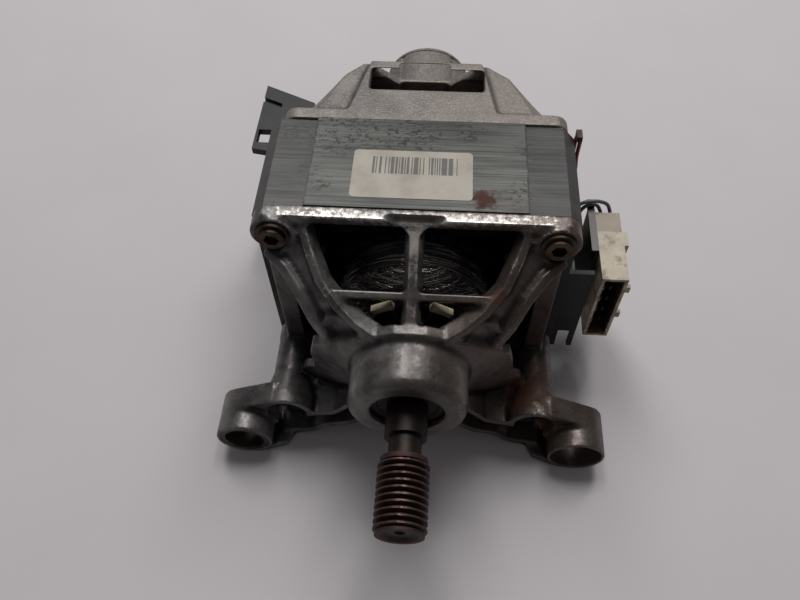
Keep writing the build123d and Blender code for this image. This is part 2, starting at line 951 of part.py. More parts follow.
def window_frame():
    """Upright post and cross rib that split the top window in four, and the post under the hub."""
    top = in_space(window_frame_shares["top"], 1)
    foot = in_space(window_frame_shares["foot"], 1)
    right = in_space(window_frame_shares["rib"], 1)
    left = in_space(window_frame_shares["rib"], -1)
    slope = (foot - top).normalized()
    back = Vector(1, 0, 0).cross(slope).normalized()
    if back.Y < 0:
        back = back * -1
    post = rib_between(top, foot, post_width, post_root_width, post_thickness, back)
    rib = rib_between(left, right, cross_rib_thickness, cross_rib_thickness, cross_rib_depth, back)
    flare_top = slope * post_root_width
    flare = post_root_width
    gusset = [top + Vector(-flare, 0, 0), top + Vector(flare, 0, 0), top + flare_top]
    wedge = extrude(polygon(gusset), amount=post_thickness / 2, dir=back)
    return post + rib + wedge + mirror(post, Plane.XY)


def lower_arm_outline(side):
    """Outline of a lower arm between the hub and its ear."""
    points = scaled(lower_arm_top_shares, side)
    return points + scaled(lower_arm_low_shares, side)


def tunnel(side, mouth, rear, extra):
    """Round shape along a lower screw, flared towards its front mouth."""
    x = side * screw_x
    start = front_y - arm_front
    flare = start + tunnel_mouth_length
    narrow = flare + tunnel_flare_length
    shape = bar_y(mouth, start - extra, flare, x, -screw_z)
    shape += bar_y(rear, narrow, front_y - corner_boss_depth, x, -screw_z)
    outline = [(0, flare), (mouth, flare), (rear, narrow), (0, narrow)]
    cone = Pos(x, 0, -screw_z) * turned(outline)
    return shape + cone


# Plan of the foot under a lower arm, as shares of the ear's places across and forward of the stack.
skirt_shares = [
    (0.644, 0.614),
    (0.652, 0.713),
    (0.707, 0.772),
    (0.732, 0.851),
    (0.761, 0.927),
    (0.835, 0.962),
    (0.908, 0.994),
    (0.966, 0.998),
    (0.966, 0.634),
]


def ear_web(side):
    """Web from a front ear to the screw tunnel, its top a plane that just meets the ear's tube."""
    angle = math.radians(ear_web_degrees)
    top_x = rim_half_width + ear_web_leg_gap
    top_z = ear_z + (ear_radius + (ear_x - top_x) * math.sin(angle)) / math.cos(angle)
    outline = [
        (ear_x + ear_radius * math.sin(angle), ear_z + ear_radius * math.cos(angle)),
        (top_x, top_z),
        (screw_x, -screw_z + tunnel_rear_radius),
        (screw_x, -screw_z),
        (ear_x, ear_z),
    ]
    return slab_y(mirrored(outline, side), front_y - arm_front, front_y - ear_front + ear_length)


def lower_arm(side):
    """Arm with a raised tunnel over the lower screw, and the ear's tube at its end."""
    arm = slab_y(lower_arm_outline(side), front_y - arm_front, front_y - arm_back)
    arm += tunnel(side, tunnel_radius, tunnel_rear_radius, 0)
    arm += ear_web(side)
    skirt = [(side * u * ear_x, front_y - v * ear_front) for u, v in skirt_shares]
    low = ear_z - ear_radius + skirt_clear
    return arm + slab_z(skirt, low, low + skirt_thickness)


def lower_arm_cuts(side):
    """Pocket open to the front, screw tunnel and ear bore."""
    start = front_y - arm_front - overrun
    cuts = slab_y(scaled(pocket_shares, side), start, front_y - arm_back - arm_wall)
    cuts += tunnel(side, tunnel_bore, tunnel_rear_bore, overrun)
    start = front_y - ear_front
    return cuts + bar_y(ear_radius + press_gap, start, start + ear_length, side * ear_x, ear_z)


def front_ear(side):
    """Tube of a front ear, cast in one with the shield and kept apart so that its bore stays open."""
    start = front_y - ear_front
    return ring_y(ear_radius, ear_bore, start, start + ear_length, side * ear_x, ear_z)


def corner_boss(side, level):
    """Round boss for a long screw, filled out to the rim's corner."""
    x = side * screw_x
    z = level * screw_z
    boss = bar_y(corner_boss_radius, front_y - corner_boss_depth, front_y, x, z)
    x_edges = sorted((x, side * rim_half_width))
    z_edges = sorted((z, level * rim_half_height))
    return boss + block(*x_edges, front_y - rim_depth, front_y, *z_edges)


def side_leg(side):
    """Upright leg beside the stack's front, from the top corner to the lower arm."""
    x_edges = sorted((side * leg_inner_x, side * leg_outer_x))
    return block(*x_edges, front_y - leg_depth, front_y, -screw_z, screw_z)


def coil_space():
    """Room for the front end of the right field coil."""
    half_y = stack_length / 2 + coil_overhang + coil_clearance
    half_z = pole_half_height + bobbin_wall + 2 * bobbin_gap + coil_build + coil_clearance
    x1 = coil_outer_x + coil_clearance
    return racetrack(half_y, half_z, coil_corner_radius, coil_inner_x - coil_clearance, x1)


def winding_space():
    """Room that the turning front windings and the armature insulator need."""
    grow = 2 * wire_radius + winding_clearance
    profile = [(radius + grow, front_y - depth - grow) for radius, depth in overhang_profile(overhang_front)]
    front = front_y - overhang_front - insulator_stand_off - insulator_thickness - winding_clearance
    ring = insulator_radius + winding_clearance
    outline = [(0, front_y + overrun), (rotor_radius + air_gap, front_y + overrun)]
    outline += [(rotor_radius + air_gap, profile[0][1])] + profile[:3]
    outline += [(ring, profile[3][1]), (ring, front), (0, front)]
    return turned(outline)


def front_shield():
    """Die cast shield: rim, legs, channel arms, bell, hub, lower arms and ears."""
    rim = rounded_slab_y(rim_half_width, rim_half_height, rim_corner_radius, front_y - rim_depth, front_y)
    inner_z = rim_half_height - rim_wall
    rim -= block(-leg_inner_x, leg_inner_x, front_y - leg_depth, front_y + overrun, -inner_z, inner_z)
    shield = rim + bell() + window_frame()
    for side in (-1, 1):
        shield += side_leg(side)
        shield += diagonal_arm(side)
        shield += lower_arm(side)
        for level in (-1, 1):
            shield += corner_boss(side, level)
    hub = bar_y(hub_radius, hub_y, hub_y + hub_length)
    hub = fillet(hub.edges().filter_by(GeomType.CIRCLE).sort_by(Axis.Y)[0], hub_edge_radius)
    shield += hub
    seat_end = hub_y + hub_length + overrun
    shield -= bar_y(hub_lip_radius, hub_y - overrun, seat_end)
    shield -= bar_y(front_bearing_radius, hub_y + hub_lip_thickness, seat_end)
    shield -= winding_space()
    for side in (-1, 1):
        shield -= lower_arm_cuts(side)
        shield -= on_side(coil_space(), side)
    notch_z = rim_half_height - notch_depth
    notch = [(-notch_half_width, rim_half_height + overrun), (-notch_half_width / 2, notch_z)]
    notch += [(notch_half_width / 2, notch_z), (notch_half_width, rim_half_height + overrun)]
    shield -= slab_y(notch, front_y - rim_depth - overrun, front_y - rim_depth / 2)
    hole = screw_radius + screw_clearance
    seat = front_y - corner_boss_depth
    for x, z in screw_places():
        shield -= bar_y(hole, seat - overrun, front_y + overrun, x, z)
        shield -= bar_y(washer_radius + spot_face_margin, seat - spot_face_length, seat, x, z)
    big = 2 * stator_half_width
    shield -= block(-big, big, front_y, front_y + stack_length, -big, big)
    return shield


def left_ear_bush():
    """Plain sleeve in the left ear."""
    start = front_y - ear_front + bush_inset
    end = front_y - ear_front + ear_length - bush_inset
    return ring_y(ear_bore - press_gap, bush_bore, start, end, -ear_x, ear_z)


def housing_screws():
    """Four long screws with washer heads and a six sided socket."""
    screws = []
    for x, z in screw_places():
        seat = front_y - corner_boss_depth
        screw = bar_y(screw_radius, seat - overrun, rear_y + screw_bite, x, z)
        screw += bar_y(washer_radius, seat - washer_thickness, seat, x, z)
        top = seat - washer_thickness - head_height
        screw += bar_y(head_radius, top, seat, x, z)
        plane = Plane(origin=(x, top, z), x_dir=(1, 0, 0), z_dir=(0, 1, 0))
        screw -= extrude(plane * RegularPolygon(socket_radius, 6), amount=socket_depth)
        screws.append(screw)
    return Compound(children=screws)


# Rear dome sections: depth, the corners' shares of half width and half height, and the right side's extra.
dome_section_shares = [
    (0.16, 1.0, 1.0, 0.80, 0.78, 0.8),
    (0.41, 0.98, 0.995, 0.71, 0.69, 1.0),
    (0.79, 0.905, 0.99, 0.605, 0.55, 0.8),
    (1.0, 0.83, 0.98, 0.475, 0.37, 0.1),
]


# Plan of the flat pad on the dome's top.
dome_pad_shares = [(-0.56, 0.05), (0.56, 0.05), (0.44, 0.97), (-0.42, 0.97)]


def dome_section(shares, shrink, y):
    """Eight sided section of the rear dome, drawn in by a wall."""
    along, wide, high, flat, side, extra = shares
    wider = dome_right_extra * extra
    w = dome_half_width * wide - shrink
    h = dome_half_height * high - shrink
    t = dome_half_width * flat - shrink / 2
    s = dome_half_height * side - shrink / 2
    right = [(t + wider, h), (w + wider, s), (w + wider, -s), (t + wider, -h)]
    left = [(-t, -h), (-w, -s), (-w, s), (-t, h)]
    return polygon([(x, y, z) for x, z in right + left])


def dome_body(shrink, end_shrink):
    """Hollow or solid dome, lofted through its sections."""
    sections = []
    for shares in dome_section_shares:
        y = rear_y + shares[0] * dome_depth
        sections.append(dome_section(shares, shrink, y))
    first = dome_section(dome_section_shares[0], shrink, rear_y + rear_flange_depth / 2)
    body = loft([first] + sections, ruled=True)
    if end_shrink > 0:
        big = 2 * stator_half_width
        body -= block(-big, big, dome_y - end_shrink, dome_y + overrun, -big, big)
    return body


def rear_ear(side):
    """Tube of a rear ear, cast in one with the shield and kept apart so that its bore stays open."""
    y0 = rear_y + rear_ear_front
    return ring_y(ear_radius, rear_ear_bore, y0, y0 + rear_ear_length, side * ear_x, ear_z)


def rear_ear_seat(side):
    """Web from the rear shield's lower corner to the ear's tube."""
    y0 = rear_y + rear_ear_front
    half = rear_ear_web / 2
    x_low = rim_half_width - stator_chamfer_x - ear_radius
    outline = [
        (x_low, -screw_z + half),
        (rim_half_width - stator_chamfer_x, -screw_z + ear_radius),
        (ear_x, ear_z + ear_radius),
        (ear_x, ear_z - ear_radius),
        (rim_half_width, ear_z - half),
        (x_low, -screw_z - half / 2),
    ]
    web = slab_y(mirrored(outline, side), y0, y0 + rear_ear_length - ear_radius / 2)
    return web - bar_y(ear_radius + press_gap, y0 - overrun, y0 + rear_ear_length, side * ear_x, ear_z)


def rear_shield():
    """Die cast shield: flange, eight sided dome, windows, bearing boss and ears."""
    flange_y = rear_y + rear_flange_depth
    shield = rounded_slab_y(rim_half_width, rim_half_height, rim_corner_radius, rear_y, flange_y)
    shield += Pos(dome_right_extra, 0, 0) * shield
    shield += dome_body(0, 0)
    pad_z = dome_half_height * dome_section_shares[2][2]
    raised = [(x * dome_half_width, rear_y + y * dome_depth) for x, y in dome_pad_shares]
    shield += slab_z(raised, pad_z - rear_wall / 2, rim_half_height)
    shield += bar_y(boss_radius, dome_y - back_wall, boss_y)
    for side in (-1, 1):
        shield += rear_ear_seat(side)
    shield -= dome_body(rear_wall, back_wall)
    for side in (-1, 1):
        shield += on_side(holder_seat(0, -holder_seat_depth), side)
        shield -= on_side(holder_seat(holder_seat_margin, holder_pocket_depth), side)
    mouth_x = rim_half_width - rear_flange_depth
    mouth_z = rim_half_height - rear_flange_depth
    mouth = rounded_slab_y(mouth_x, mouth_z, rim_corner_radius, rear_y - overrun, flange_y)
    for x, z in screw_places():
        mouth -= bar_y(corner_boss_radius, rear_y - overrun, flange_y + overrun, x, z)
    shield -= mouth
    shield += ring_y(boss_radius, rear_bearing_radius, rear_bearing_y - bearing_stop_thickness, dome_y)
    shield -= bar_y(rear_bearing_radius, rear_bearing_y - rear_wall, rear_bearing_y + rear_bearing_width)
    shield -= bar_y(bearing_stop_radius, dome_y - back_wall * 2, boss_y)
    shield -= bar_y(boss_chamber_radius, bearing_clear_y, boss_y + overrun)
    return rear_openings(shield)


def holder_seat(margin, reach):
    """Block behind or in front of the face that carries a brush holder's plate, on the right."""
    y = holder_plate_half_y + margin
    z = holder_plate_half_z + margin
    x_edges = sorted((brush_wall_x(), brush_wall_x() + reach))
    return block(*x_edges, brush_y - y, brush_y + y, -z, z)


def rear_openings(shield):
    """Windows, vents, screw holes and grooves of the rear shield."""
    y0 = rear_y + rear_window_start
    y1 = y0 + rear_window_length
    big = 2 * rim_half_height
    low = dome_half_height - rear_wall * 2
    half = rear_window_half_width
    left = rear_window_shift - half
    right = rear_window_shift + half
    shield -= block(left, right, y0, y1, low, big)
    shield -= block(left, right, y0, y1, -big, -low)
    bay = dip_half_width
    shield -= block(-bay, bay, y1 - overrun, y1 + rear_window_bay, dome_half_height / 2, big)
    dip_z = dome_half_height - dip_depth
    dip = [(-dip_top_half_width, dome_half_height + overrun), (-dip_half_width, dip_z)]
    dip += [(dip_half_width, dip_z), (dip_top_half_width, dome_half_height + overrun)]
    shield -= slab_y(dip, y1 - overrun, dome_y + overrun)
    for side in (-1, 1):
        x_edges = sorted((side * (bar_radius + tube_start_gap), side * stator_half_width))
        z = side_window_half_z
        shield -= block(*x_edges, brush_y - side_window_half_y, brush_y + side_window_half_y, -z, z)
        groove = spun(block(-boss_groove, boss_groove, dome_y + overrun, boss_y + overrun,
                            boss_radius - boss_groove, boss_radius + overrun), side * boss_groove_angle)
        shield -= groove
        for screw_z_side in (-1, 1):
            shield -= holder_screw(side, screw_z_side, press_gap)
    w = rear_vent_half_width
    z0 = -rear_vent_drop - rear_vent_half_height
    z1 = -rear_vent_drop + rear_vent_half_height
    shield -= block(-w, w, dome_y - back_wall - overrun, dome_y + overrun, z0, z1)
    hole = screw_radius + press_gap
    for x, z in screw_places():
        shield -= bar_y(hole, rear_y - overrun, rear_y + screw_bite + overrun / 2, x, z)
    return shield


def brush_wall_x():
    """Distance of the dome's side wall from the shaft axis, at the brushes."""
    first = dome_section_shares[1]
    last = dome_section_shares[2]
    share = ((brush_y - rear_y) / dome_depth - first[0]) / (last[0] - first[0])
    return dome_half_width * (first[1] + (last[1] - first[1]) * share)


def holder_screw(side, level, grow):
    """Small screw through a brush holder's plate into the rear shield."""
    z = level * holder_screw_offset_z
    start = brush_wall_x() - holder_screw_grip
    seat = brush_wall_x() + holder_plate_x
    y = brush_y
    turn = Rot(0, quarter, 0)
    middle = (start + seat) / 2
    screw = Pos(middle, y, z) * turn * Cylinder(holder_screw_radius + grow, seat - start)
    if grow == 0:
        head_x = seat + holder_screw_head / 2
        screw += Pos(head_x, y, z) * turn * Cylinder(holder_screw_head_radius, holder_screw_head)
    return on_side(screw, side)


def brush_holder_screws():
    """Two small screws on each side."""
    return Compound(children=[holder_screw(side, level, 0) for side in (-1, 1) for level in (-1, 1)])


def brush_space(grow):
    """Space of the right brass tube, grown by a gap."""
    y = tube_half_y + grow
    z = tube_half_z + grow
    return block(bar_radius + tube_start_gap, tube_end_x, brush_y - y, brush_y + y, -z, z)


def brush_holder(side):
    """Moulded holder that stands out of the shield's side and grips the brass tube."""
    y = tube_half_y + holder_wall
    z = tube_half_z + holder_wall
    wall = brush_wall_x()
    plate_y = holder_plate_half_y
    plate_z = holder_plate_half_z
    body = block(holder_start_x, holder_end_x, brush_y - y, brush_y + y, -z, z)
    plate = block(wall, wall + holder_plate_x, brush_y - plate_y, brush_y + plate_y, -plate_z, plate_z)
    body = body + plate
    body -= brush_space(press_gap)
    hole = Rot(0, quarter, 0) * Cylinder(holder_screw_radius + press_gap, holder_plate_x + 2 * overrun)
    for level in (-1, 1):
        body -= Pos(wall + holder_plate_x / 2, brush_y, level * holder_screw_offset_z) * hole
    return on_side(body, side)


def brush_tube(side):
    """Square brass tube, open at the commutator and closed at its outer end."""
    inner_y = brush_width / 2 + tube_play
    inner_z = brush_height / 2 + tube_play
    tube = brush_space(0)
    start = bar_radius
    tube -= block(start, tube_end_x - tube_cap, brush_y - inner_y, brush_y + inner_y, -inner_z, inner_z)
    return on_side(tube, side)


def carbon_brush(side):
    """Carbon block whose inner end fits the commutator."""
    half_y = brush_width / 2
    half_z = brush_height / 2
    outer = bar_radius + brush_length
    brush = block(bar_radius / 2, outer, brush_y - half_y, brush_y + half_y, -half_z, half_z)
    brush -= bar_y(bar_radius + brush_lift, brush_y - brush_width, brush_y + brush_width)
    return on_side(brush, side)


def brush_spring(side):
    """Space of the coil spring behind a brush."""
    start = bar_radius + brush_length
    end = tube_end_x - tube_cap
    spring = Pos((start + end) / 2, brush_y, 0) * Rot(0, quarter, 0) * Cylinder(spring_radius, end - start)
    return on_side(spring, side)


def terminal_carrier():
    """Dark moulding on the stack's right side that carries the connector."""
    x0 = stator_half_width + carrier_gap
    x1 = x0 + carrier_wall
    y0 = front_y + carrier_front
    y1 = y0 + carrier_length
    low = carrier_low
    high = carrier_high
    body = block(x0, x1, y0, y1, low, high)
    body += block(x0, x0 + carrier_front_reach, y0, y0 + carrier_wall, low, high)
    body += block(x0, x0 + prong_width, y0, y0 + carrier_wall, low - prong_drop, low)
    thin_x = x0 + carrier_front_reach - prong_thin_width
    body += block(thin_x, x0 + carrier_front_reach, y0, y0 + carrier_wall, low - prong_drop, low)
    nub_y = y1 - nub_width * 2
    body += block(x0, x1, nub_y, nub_y + nub_width, high, high + nub_rise)
    nub_z = high + nub_rise
    body += block(x0, x0 + nub_reach, nub_y, nub_y + nub_width, nub_z - nub_height, nub_z)
    duct_low = low + prong_drop
    body += block(x0, x0 + carrier_duct_reach, y1 - nub_width, y1, duct_low, high - carrier_duct_drop)
    tail_y = y1 + carrier_tail_length
    tail_low = carrier_tail_top - carrier_tail_height
    body += block(x0, x1, y1 - overrun, tail_y, tail_low, high)
    head_y = tail_y - carrier_tail_head
    body += block(x0, x0 + carrier_tail_reach, head_y, tail_y, tail_low, carrier_tail_top)
    return body


def bracket_x():
    """Inner face of the steel bracket's upright wall."""
    return socket_x - bracket_gap - bracket_sheet


def connector_bracket():
    """Bent steel strip between the moulding and the connector."""
    x0 = bracket_x()
    y0 = front_y + bracket_start
    y1 = y0 + bracket_length
    high = socket_high + bracket_sheet
    wall = block(x0, x0 + bracket_sheet, y0, y1, bracket_low, high)
    flange_x = x0 + bracket_sheet - bracket_flange
    wall += block(flange_x, x0 + bracket_sheet, y0, y1, high - bracket_sheet, high)
    foot_x = stator_half_width + carrier_gap + carrier_wall + bracket_gap
    foot_y = y0 + bracket_foot_length
    wall += block(foot_x, x0 + overrun / 2, y0, foot_y, bracket_low, bracket_low + bracket_sheet)
    wall += block(foot_x, foot_x + bracket_sheet, y0, foot_y, bracket_low, bracket_low + bracket_foot_reach)
    return wall


def connector_socket():
    """Cream socket with an open front and ribs inside."""
    x1 = socket_x + socket_width
    y0 = front_y
    y1 = y0 + socket_depth_y
    low = socket_high - socket_height
    wall = socket_wall
    shell = block(socket_x, x1, y0, y1, low, socket_high)
    floor_y = y1 - socket_floor
    shell -= block(socket_x + wall, x1 - wall, y0 - overrun, floor_y, low + wall, socket_high - wall)
    pitch = (socket_height - 2 * wall) / pin_rows
    for row in range(1, pin_rows):
        z = low + wall + pitch * row
        rib_x = socket_x + socket_width / 4
        shell += block(socket_x + wall / 2, rib_x, y0 + socket_floor, y1 - wall, z - wall / 2, z + wall / 2)
    for share in latch_shares:
        z = socket_high - share * socket_height
        shell += block(x1 - wall / 2, x1 + latch_size, y0, y0 + latch_size, z - latch_height, z)
    return shell - connector_pins(press_gap)


def connector_collar():
    """Wider collar behind the socket."""
    x1 = socket_x + collar_width
    y0 = front_y + socket_depth_y + press_gap
    y1 = y0 + collar_length
    low = socket_high - socket_height
    return block(socket_x, x1, y0, y1, low, socket_high)


def connector_plug():
    """White plug body where the leads go in."""
    x0 = socket_x
    y0 = front_y + socket_depth_y + collar_length + 2 * press_gap
    y1 = y0 + plug_length
    return block(x0, x0 + plug_width, y0, y1, socket_high - plug_height, socket_high)


def connector_pins(grow):
    """Flat metal pins in rows."""
    pitch = (socket_height - 2 * socket_wall) / pin_rows
    span = (socket_width - 2 * socket_wall) / (pin_columns + 1)
    y1 = front_y + socket_depth_y - socket_wall / 2
    pins = []
    for row in range(pin_rows):
        z = socket_high - socket_wall - pitch * (row + 1 / 2)
        for column in range(pin_columns):
            x = socket_x + socket_wall + span * (column + 1)
            half_x = pin_blade / 2 + grow
            half_z = pin_blade_height / 2 + grow
            pins.append(block(x - half_x, x + half_x, y1 - pin_length, y1, z - half_z, z + half_z))
    return Compound(children=pins)


def lead_points(route):
    """Route beside the stack as places in the part's frame."""
    return [Vector(stator_half_width + out, front_y + back, up) for out, back, up in route]


def lead(route, radius, name):
    """Wire along a route of straight runs joined by tangent arcs, with its radii printed."""
    points = lead_points(route)
    runs = [(points[i + 1] - points[i]) for i in range(len(points) - 1)]
    radii = []
    for before, after in zip(runs, runs[1:]):
        turn = math.radians(before.get_angle(after))
        radii.append(lead_radius_share * min(before.length, after.length) / math.tan(turn / 2))
    path = FilletPolyline(*points, radius=radii)
    section = Plane(origin=path @ 0, z_dir=path % 0) * Circle(radius)
    tube = sweep(section, path=path)
    expected = math.pi * radius**2 * path.length
    share = round(tube.volume / expected, 3)
    print(name, "radii", [round(r, 1) for r in radii], "volume over expected", share)
    return tube


# Routes of the leads: outwards from the stack's side, back from its front, and up from the shaft.
grey_outer_route = [
    (4.4, 35.0, 3.5),
    (4.4, 35.0, 9.6),
    (7.6, 35.5, 13.2),
    (13.4, 36.4, 13.4),
    (18.4, 37.6, 10.6),
    (20.4, 38.2, 5.6),
    (20.4, 34.03, 5.6),
]
grey_inner_route = [
    (7.2, 34.8, 3.5),
    (7.2, 34.8, 9.0),
    (10.0, 35.8, 11.8),
    (14.2, 37.2, 10.2),
    (16.6, 37.6, 5.4),
    (16.6, 34.03, 5.4),
]
red_routes = [
    [(4.0, 46.8, 17.0), (4.0, 46.8, 21.0), (3.2, 47.0, 27.0), (3.2, 47.0, 36.2)],
    [(3.2, 49.2, 17.0), (3.2, 49.2, 21.0), (1.8, 48.8, 27.0), (1.8, 48.8, 36.2)],
]


# Plan of the lead guide: across from the stack's side and back from the shield, as shares.
guide_plan_shares = [(-0.66, 0.058), (-0.642, 1.0), (0.7, 0.75), (0.7, 0.25), (0.157, 0.0)]
guide_slot_shares = [(-0.71, 0.827), (-0.136, 0.722), (-0.136, 0.653), (-0.71, 0.757)]
guide_window_shares = [(-0.588, 0.145), (-0.255, 0.145), (-0.255, 0.33), (-0.588, 0.33)]


def guide_plan(shares):
    """Outline of (x, y) points in the guide's plan."""
    x0 = -stator_half_width
    y0 = rear_y + guide_gap
    return [(x0 + u * guide_reach, y0 + v * guide_length) for u, v in shares]


def lead_guide():
    """Grey moulding hooked on the rear shield's left side, with two openings in its top."""
    top = guide_top
    low = top - guide_thickness
    outline = guide_plan(guide_plan_shares)
    guide = slab_z(outline, low, top)
    (ax, ay), (bx, by), (cx, cy) = outline[0], outline[1], outline[2]
    lip = [(bx, by), (cx, cy), (cx, cy - guide_wall), (bx, by - guide_wall)]
    guide += slab_z(lip, guide_lip_low, low + overrun)
    halfway = ay + guide_length / 2
    side = [(ax, halfway), (bx, by), (bx + guide_wall, by), (ax + guide_wall, halfway)]
    guide += slab_z(side, guide_lip_low, low + overrun)
    guide -= slab_z(guide_plan(guide_slot_shares), low + guide_thickness / 2, top + overrun)
    guide -= slab_z(guide_plan(guide_window_shares), low - overrun, top + overrun)
    guide -= dome_body(-guide_gap, 0)
    rim = rounded_slab_y(rim_half_width + guide_gap, rim_half_height, rim_corner_radius,
                         rear_y - overrun, rear_y + rear_flange_depth + guide_gap)
    return guide - rim


def label():
    """Thin bare label on the raised band of the stack."""
    middle_y = front_y + label_front + label_length / 2
    face = Pos(label_x, middle_y, stator_top) * RectangleRounded(label_width, label_length, label_corner)
    return extrude(face, amount=label_thickness)


def splice():
    """Crimped end where the two red leads meet."""
    ends = [lead_points(route)[-1] for route in red_routes]
    middle = (ends[0] + ends[1]) / 2
    half = (ends[1] - ends[0]).length / 2 + splice_radius
    base = middle.Z + press_gap
    return block(middle.X - splice_radius, middle.X + splice_radius, middle.Y - half, middle.Y + half,
                 base, base + splice_length)


def build():
    """Every piece of the motor under its own name."""
    front = (collar_radius, front_bearing_radius, front_bearing_width, front_ball_radius, front_bearing_y)
    rear = (rear_seat_radius, rear_bearing_radius, rear_bearing_width, rear_ball_radius, rear_bearing_y)
    pieces = {
        "pulley": pulley(),
        "rotor_shaft": rotor_shaft(),
        "rotor_core": rotor_core(),
        "armature_coils": armature_coils(),
        "armature_wires": armature_wires(),
        "armature_insulator": armature_insulator(),
        "commutator_bars": commutator_bars(),
        "commutator_hub": commutator_hub(),
        "tacho_magnet": tacho_magnet(),
        "tacho_coil": tacho_coil(),
        "tacho_cover": tacho_cover(),
        "front_bearing_outer": bearing_outer(*front),
        "front_bearing_inner": bearing_inner(*front),
        "front_bearing_balls": bearing_balls(*front),
        "front_bearing_seals": bearing_seals(*front),
        "rear_bearing_outer": bearing_outer(*rear),
        "rear_bearing_inner": bearing_inner(*rear),
        "rear_bearing_balls": bearing_balls(*rear),
        "rear_bearing_seals": bearing_seals(*rear),
        "wave_washer": wave_washer(),
        "stator_core": stator_core(),
        "front_shield": front_shield(),
        "rear_shield": rear_shield(),
        "housing_screws": housing_screws(),
        "left_ear_bush": left_ear_bush(),
        "brush_holder_screws": brush_holder_screws(),
        "terminal_carrier": terminal_carrier(),
        "connector_bracket": connector_bracket(),
        "connector_socket": connector_socket(),
        "connector_collar": connector_collar(),
        "connector_plug": connector_plug(),
        "connector_pins": connector_pins(0),
        "grey_lead_outer": lead(grey_outer_route, grey_lead_radius, "grey_lead_outer"),
        "grey_lead_inner": lead(grey_inner_route, grey_lead_radius, "grey_lead_inner"),
        "red_lead_front": lead(red_routes[0], red_lead_radius, "red_lead_front"),
        "red_lead_rear": lead(red_routes[1], red_lead_radius, "red_lead_rear"),
        "red_lead_splice": splice(),
        "lead_guide": lead_guide(),
        "label": label(),
    }
    for name, side in (("left", -1), ("right", 1)):
        pieces["front_ear_" + name] = front_ear(side)
        pieces["rear_ear_" + name] = rear_ear(side)
        pieces["field_coil_" + name] = field_coil(side)
        pieces["coil_bobbin_" + name] = coil_bobbin(side)
        pieces["brush_holder_" + name] = brush_holder(side)
        pieces["brush_tube_" + name] = brush_tube(side)
        pieces["carbon_brush_" + name] = carbon_brush(side)
        pieces["brush_spring_" + name] = brush_spring(side)
    return pieces


os.makedirs("parts", exist_ok=True)
for node, shape in build().items():
    export_step(shape, "parts/" + node + ".step")
print("least gap between turns of the armature wire", round(wire_least_gap(), 3))
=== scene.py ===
# Washing machine motor: its looks, the table that it stands on, the light and the camera.
import json
import math

import bmesh
import bpy
import numpy as np
from mathutils import Matrix, Vector


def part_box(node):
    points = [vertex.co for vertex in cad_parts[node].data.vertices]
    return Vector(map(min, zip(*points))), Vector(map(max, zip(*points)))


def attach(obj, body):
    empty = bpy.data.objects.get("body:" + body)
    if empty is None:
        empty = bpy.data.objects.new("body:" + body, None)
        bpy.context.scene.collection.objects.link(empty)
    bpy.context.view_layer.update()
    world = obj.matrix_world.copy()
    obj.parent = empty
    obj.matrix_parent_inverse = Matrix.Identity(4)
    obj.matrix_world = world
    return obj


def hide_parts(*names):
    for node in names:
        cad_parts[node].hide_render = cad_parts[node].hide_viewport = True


MM = 0.001

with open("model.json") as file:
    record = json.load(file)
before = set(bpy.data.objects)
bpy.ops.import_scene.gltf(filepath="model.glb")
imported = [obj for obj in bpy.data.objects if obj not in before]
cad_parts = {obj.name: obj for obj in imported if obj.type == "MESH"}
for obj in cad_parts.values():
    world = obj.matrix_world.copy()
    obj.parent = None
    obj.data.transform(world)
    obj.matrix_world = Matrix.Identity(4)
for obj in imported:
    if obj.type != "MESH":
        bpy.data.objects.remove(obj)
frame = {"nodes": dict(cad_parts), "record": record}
nodes = frame["nodes"]
scene = bpy.context.scene
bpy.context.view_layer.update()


def box_mm(node):
    """Low and high corner of a CAD node's box, in mm."""
    low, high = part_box(node)
    return np.array(low) / MM, np.array(high) / MM


# Camera

# Fitted to the photo: place in mm, angles in degrees, lens and sensor in mm, and the range seen in metres.
camera_place = (7.6, -82.57, 237.6)
camera_turn = 4.63
camera_tilt = 34.42
camera_roll = -1.29
camera_lens = 32.93
camera_sensor = 36.0
nearest_seen = 0.01
farthest_seen = 20.0


def set_camera():
    """Camera that looks down on the motor: rolled, then tilted up from straight down, then turned."""
    data = bpy.data.cameras.new("camera")
    data.sensor_width = camera_sensor
    data.lens = camera_lens
    data.clip_start = nearest_seen
    data.clip_end = farthest_seen
    camera = bpy.data.objects.new("camera", data)
    scene.collection.objects.link(camera)
    turn = Matrix.Rotation(math.radians(camera_turn), 4, "Z")
    tilt = Matrix.Rotation(math.radians(camera_tilt), 4, "X")
    roll = Matrix.Rotation(math.radians(camera_roll), 4, "Z")
    place = Matrix.Translation(Vector(camera_place) * MM)
    camera.matrix_world = place @ turn @ tilt @ roll
    scene.camera = camera


set_camera()


# Material building

def linear(code):
    """sRGB hex colour as linear values."""
    values = [int(code[i:i + 2], 16) / 255 for i in (1, 3, 5)]
    return [v / 12.92 if v <= 0.04045 else ((v + 0.055) / 1.055) ** 2.4 for v in values] + [1.0]


def add(tree, kind, links=None, **settings):
    """One node with its settings, and its inputs set to values or joined to sockets."""
    node = tree.nodes.new(kind)
    for name, value in settings.items():
        setattr(node, name, value)
    for name, value in (links or {}).items():
        socket = node.inputs[name]
        if isinstance(value, bpy.types.NodeSocket):
            tree.links.new(value, socket)
        else:
            socket.default_value = value
    return node


def material(name):
    """Empty material and its node tree."""
    made = bpy.data.materials.new(name)
    made.use_nodes = True
    made.node_tree.nodes.clear()
    return made, made.node_tree


def position(tree):
    """Place on the object in its own coordinates, in metres."""
    return add(tree, "ShaderNodeTexCoord").outputs["Object"]


def axes(tree):
    """Place on the object as its X, Y and Z, in metres."""
    return add(tree, "ShaderNodeSeparateXYZ", {"Vector": position(tree)}).outputs


